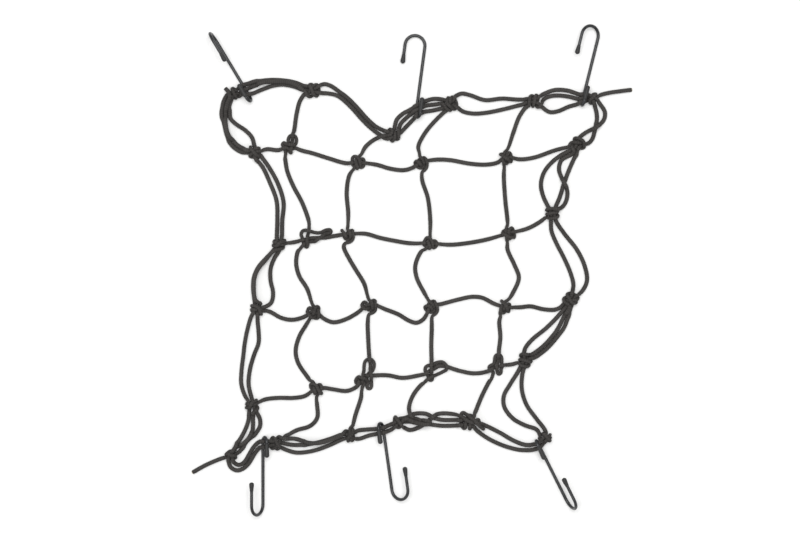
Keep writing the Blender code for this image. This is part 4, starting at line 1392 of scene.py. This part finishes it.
@dataclass
class CargoNet:
    """The whole net: its four cords, their settling, and its hooks.

    A cord that passes over a shank starts above it within the lifted half width and half length,
    about a middle so far along the shank, and each fades out over its own distance.
    """

    layout: Layout = field(default_factory=Layout)
    settler: Settler = field(default_factory=Settler)
    cord: ElasticCord = field(default_factory=ElasticCord)
    hooks: tuple[WireHook, ...] = HOOKS
    lifted_width: float = 3.0
    width_fade: float = 16.0
    lifted_middle: float = 10.0
    lifted_length: float = 9.0
    length_fade: float = 4.0
    lift_gap: float = 0.4
    tail_points: int = 24
    core_along: tuple[float, ...] = (-0.8, 0.15, 0.4, 0.45)
    core_radii: tuple[float, ...] = (1.5, 1.5, 1.35, 0.6)
    core_lump: float = 0.06
    core_lumps: int = 5
    core_sides: int = 20

    def clear_hooks(self, strand: Strand) -> None:
        """Start loose stretches above the shanks that they pass over."""
        place = strand.place
        for hook in self.hooks:
            here = place[:, :2] - np.array([hook.x, hook.y])
            on = here @ hook.along[:2]
            off = np.abs(here @ np.array([-hook.along[1], hook.along[0]]))
            past = np.clip(off - self.lifted_width, 0, None)
            beside = np.clip(1 - past / self.width_fade, 0, 1)
            past = np.clip(np.abs(on - self.lifted_middle) - self.lifted_length, 0, None)
            inside = np.clip(1 - past / self.length_fade, 0, 1)
            lift = (2 * hook.wire_r + self.lift_gap) * beside * inside
            place[:, 2] = np.maximum(place[:, 2], CORD_R + lift)

    def build(self, cord: bpy.types.Material, wire: bpy.types.Material, tip: bpy.types.Material,
              core: bpy.types.Material) -> None:
        """Lay out, settle and dress the cords, then make the hooks."""
        routes = [self.layout.border(Side.OUTER), self.layout.border(Side.INNER),
                  self.layout.zigzag("weft"), self.layout.zigzag("warp")]
        strands = [Strand.laid(route, self.settler.step) for route in routes]
        for strand in strands:
            self.clear_hooks(strand)
        self.settler.run(strands, np.vstack([hook.balls(1.2) for hook in self.hooks]))
        for strand in strands:
            for name, (piece, path) in self.cord.dress(strand, cord).items():
                self.finish_tail(name, path, core)
        for hook in self.hooks:
            hook.build(wire, tip)

    def finish_tail(self, name: str, path: Array,
                    core: bpy.types.Material) -> None:
        """Put a rubber core in a tail's cut end.

        Args:
            name: the tail's name.
            path: its centreline in metres.
            core: the core's material.
        """
        way = unit(path[-1] - path[-4])
        line = path[-1] + way * np.array(self.core_along)[:, None] * MM
        lumps = 1 + self.core_lump * np.sin(self.core_lumps * angles_round(self.core_sides))
        radii = np.array(self.core_radii)[:, None] * MM * lumps[None]
        rings = tube_rings(line, radii, *carried_frames(line), self.core_sides)
        mesh = grid_mesh(f"{name}_core", rings, np.arange(4.0))
        end = add_piece(f"{name}_core", mesh, core, Slot.CORD)


# ---- studio --------------------------------------------------------------------------------------
@dataclass
class Studio:
    """A pale floor, soft overhead light, and a camera that looks straight down. Metres and watts."""

    centre: tuple[float, float] = (-0.01155, 0.00355)
    height: float = 1.9
    view_width: float = 0.8
    floor_size: float = 6.0
    floor_colour: tuple[float, float, float] = (0.92, 0.92, 0.915)
    floor_gap: float = 0.0002
    sensor_mm: float = 36.0
    clip_end: float = 50.0
    overhead_place: tuple[float, float, float] = (0.0, 0.3, 2.2)
    overhead_size: float = 1.6
    overhead_watts: float = 39.5
    side_place: tuple[float, float, float] = (-1.5, -0.8, 1.4)
    side_size: float = 0.8
    side_watts: float = 4.0
    world_strength: float = 0.5

    def camera(self) -> None:
        """A camera over the net whose lens takes in the view's width on the floor."""
        data = bpy.data.cameras.new("camera")
        data.sensor_width = self.sensor_mm
        data.lens = data.sensor_width * self.height / self.view_width
        data.clip_end = self.clip_end
        camera = bpy.data.objects.new("camera", data)
        camera.location = (*self.centre, self.height)
        bpy.context.scene.collection.objects.link(camera)
        bpy.context.scene.camera = camera

    def floor(self) -> None:
        """A square of pale floor, just under the net."""
        h, z = self.floor_size / 2, -self.floor_gap
        mesh = bpy.data.meshes.new("floor")
        corners = [(-h, -h, z), (h, -h, z), (h, h, z), (-h, h, z)]
        mesh.from_pydata(corners, [], [(0, 1, 2, 3)])
        paint = bpy.data.materials.new("floor")
        paint.use_nodes = True
        shader = paint.node_tree.nodes["Principled BSDF"]
        shader.inputs["Base Color"].default_value = (*self.floor_colour, 1.0)
        shader.inputs["Roughness"].default_value = 0.9
        mesh.materials.append(paint)
        floor = bpy.data.objects.new("floor", mesh)
        bpy.context.scene.collection.objects.link(floor)

    def light(self, name: str, place: tuple[float, float, float], size: float, watts: float) -> None:
        """A square soft light at a place, turned towards the net."""
        data = bpy.data.lights.new(name, "AREA")
        data.shape = "SQUARE"
        data.size = size
        data.energy = watts
        lamp = bpy.data.objects.new(name, data)
        aim = -unit(np.array(place))
        flat = math.hypot(aim[0], aim[1])
        lamp.location = place
        spin = math.atan2(-aim[0], aim[1]) if flat else 0
        lamp.rotation_euler = (math.atan2(flat, -aim[2]), 0, spin)
        bpy.context.scene.collection.objects.link(lamp)

    def world(self) -> None:
        """Even white light from all round."""
        world = bpy.data.worlds.new("world")
        world.use_nodes = True
        background = world.node_tree.nodes["Background"]
        background.inputs["Color"].default_value = (1.0, 1.0, 1.0, 1.0)
        background.inputs["Strength"].default_value = self.world_strength
        bpy.context.scene.world = world

    def build(self) -> None:
        """Make the floor, the light and the world."""
        bpy.context.scene.view_settings.view_transform = "Standard"
        self.floor()
        self.world()
        self.light("overhead", self.overhead_place, self.overhead_size, self.overhead_watts)
        self.light("side", self.side_place, self.side_size, self.side_watts)


def main() -> None:
    """Build the camera, the cords, the hooks and the studio."""
    logging.basicConfig(level=logging.INFO, format="%(message)s")
    studio = Studio()
    studio.camera()
    braid, wear = braid_group(), wear_group()
    CargoNet().build(CORD_FINISH.build(braid, wear), WIRE_FINISH.build(wear),
                     TIP_FINISH.build(wear), CORE_FINISH.build(wear))
    studio.build()


if __name__ == "__main__":
    main()
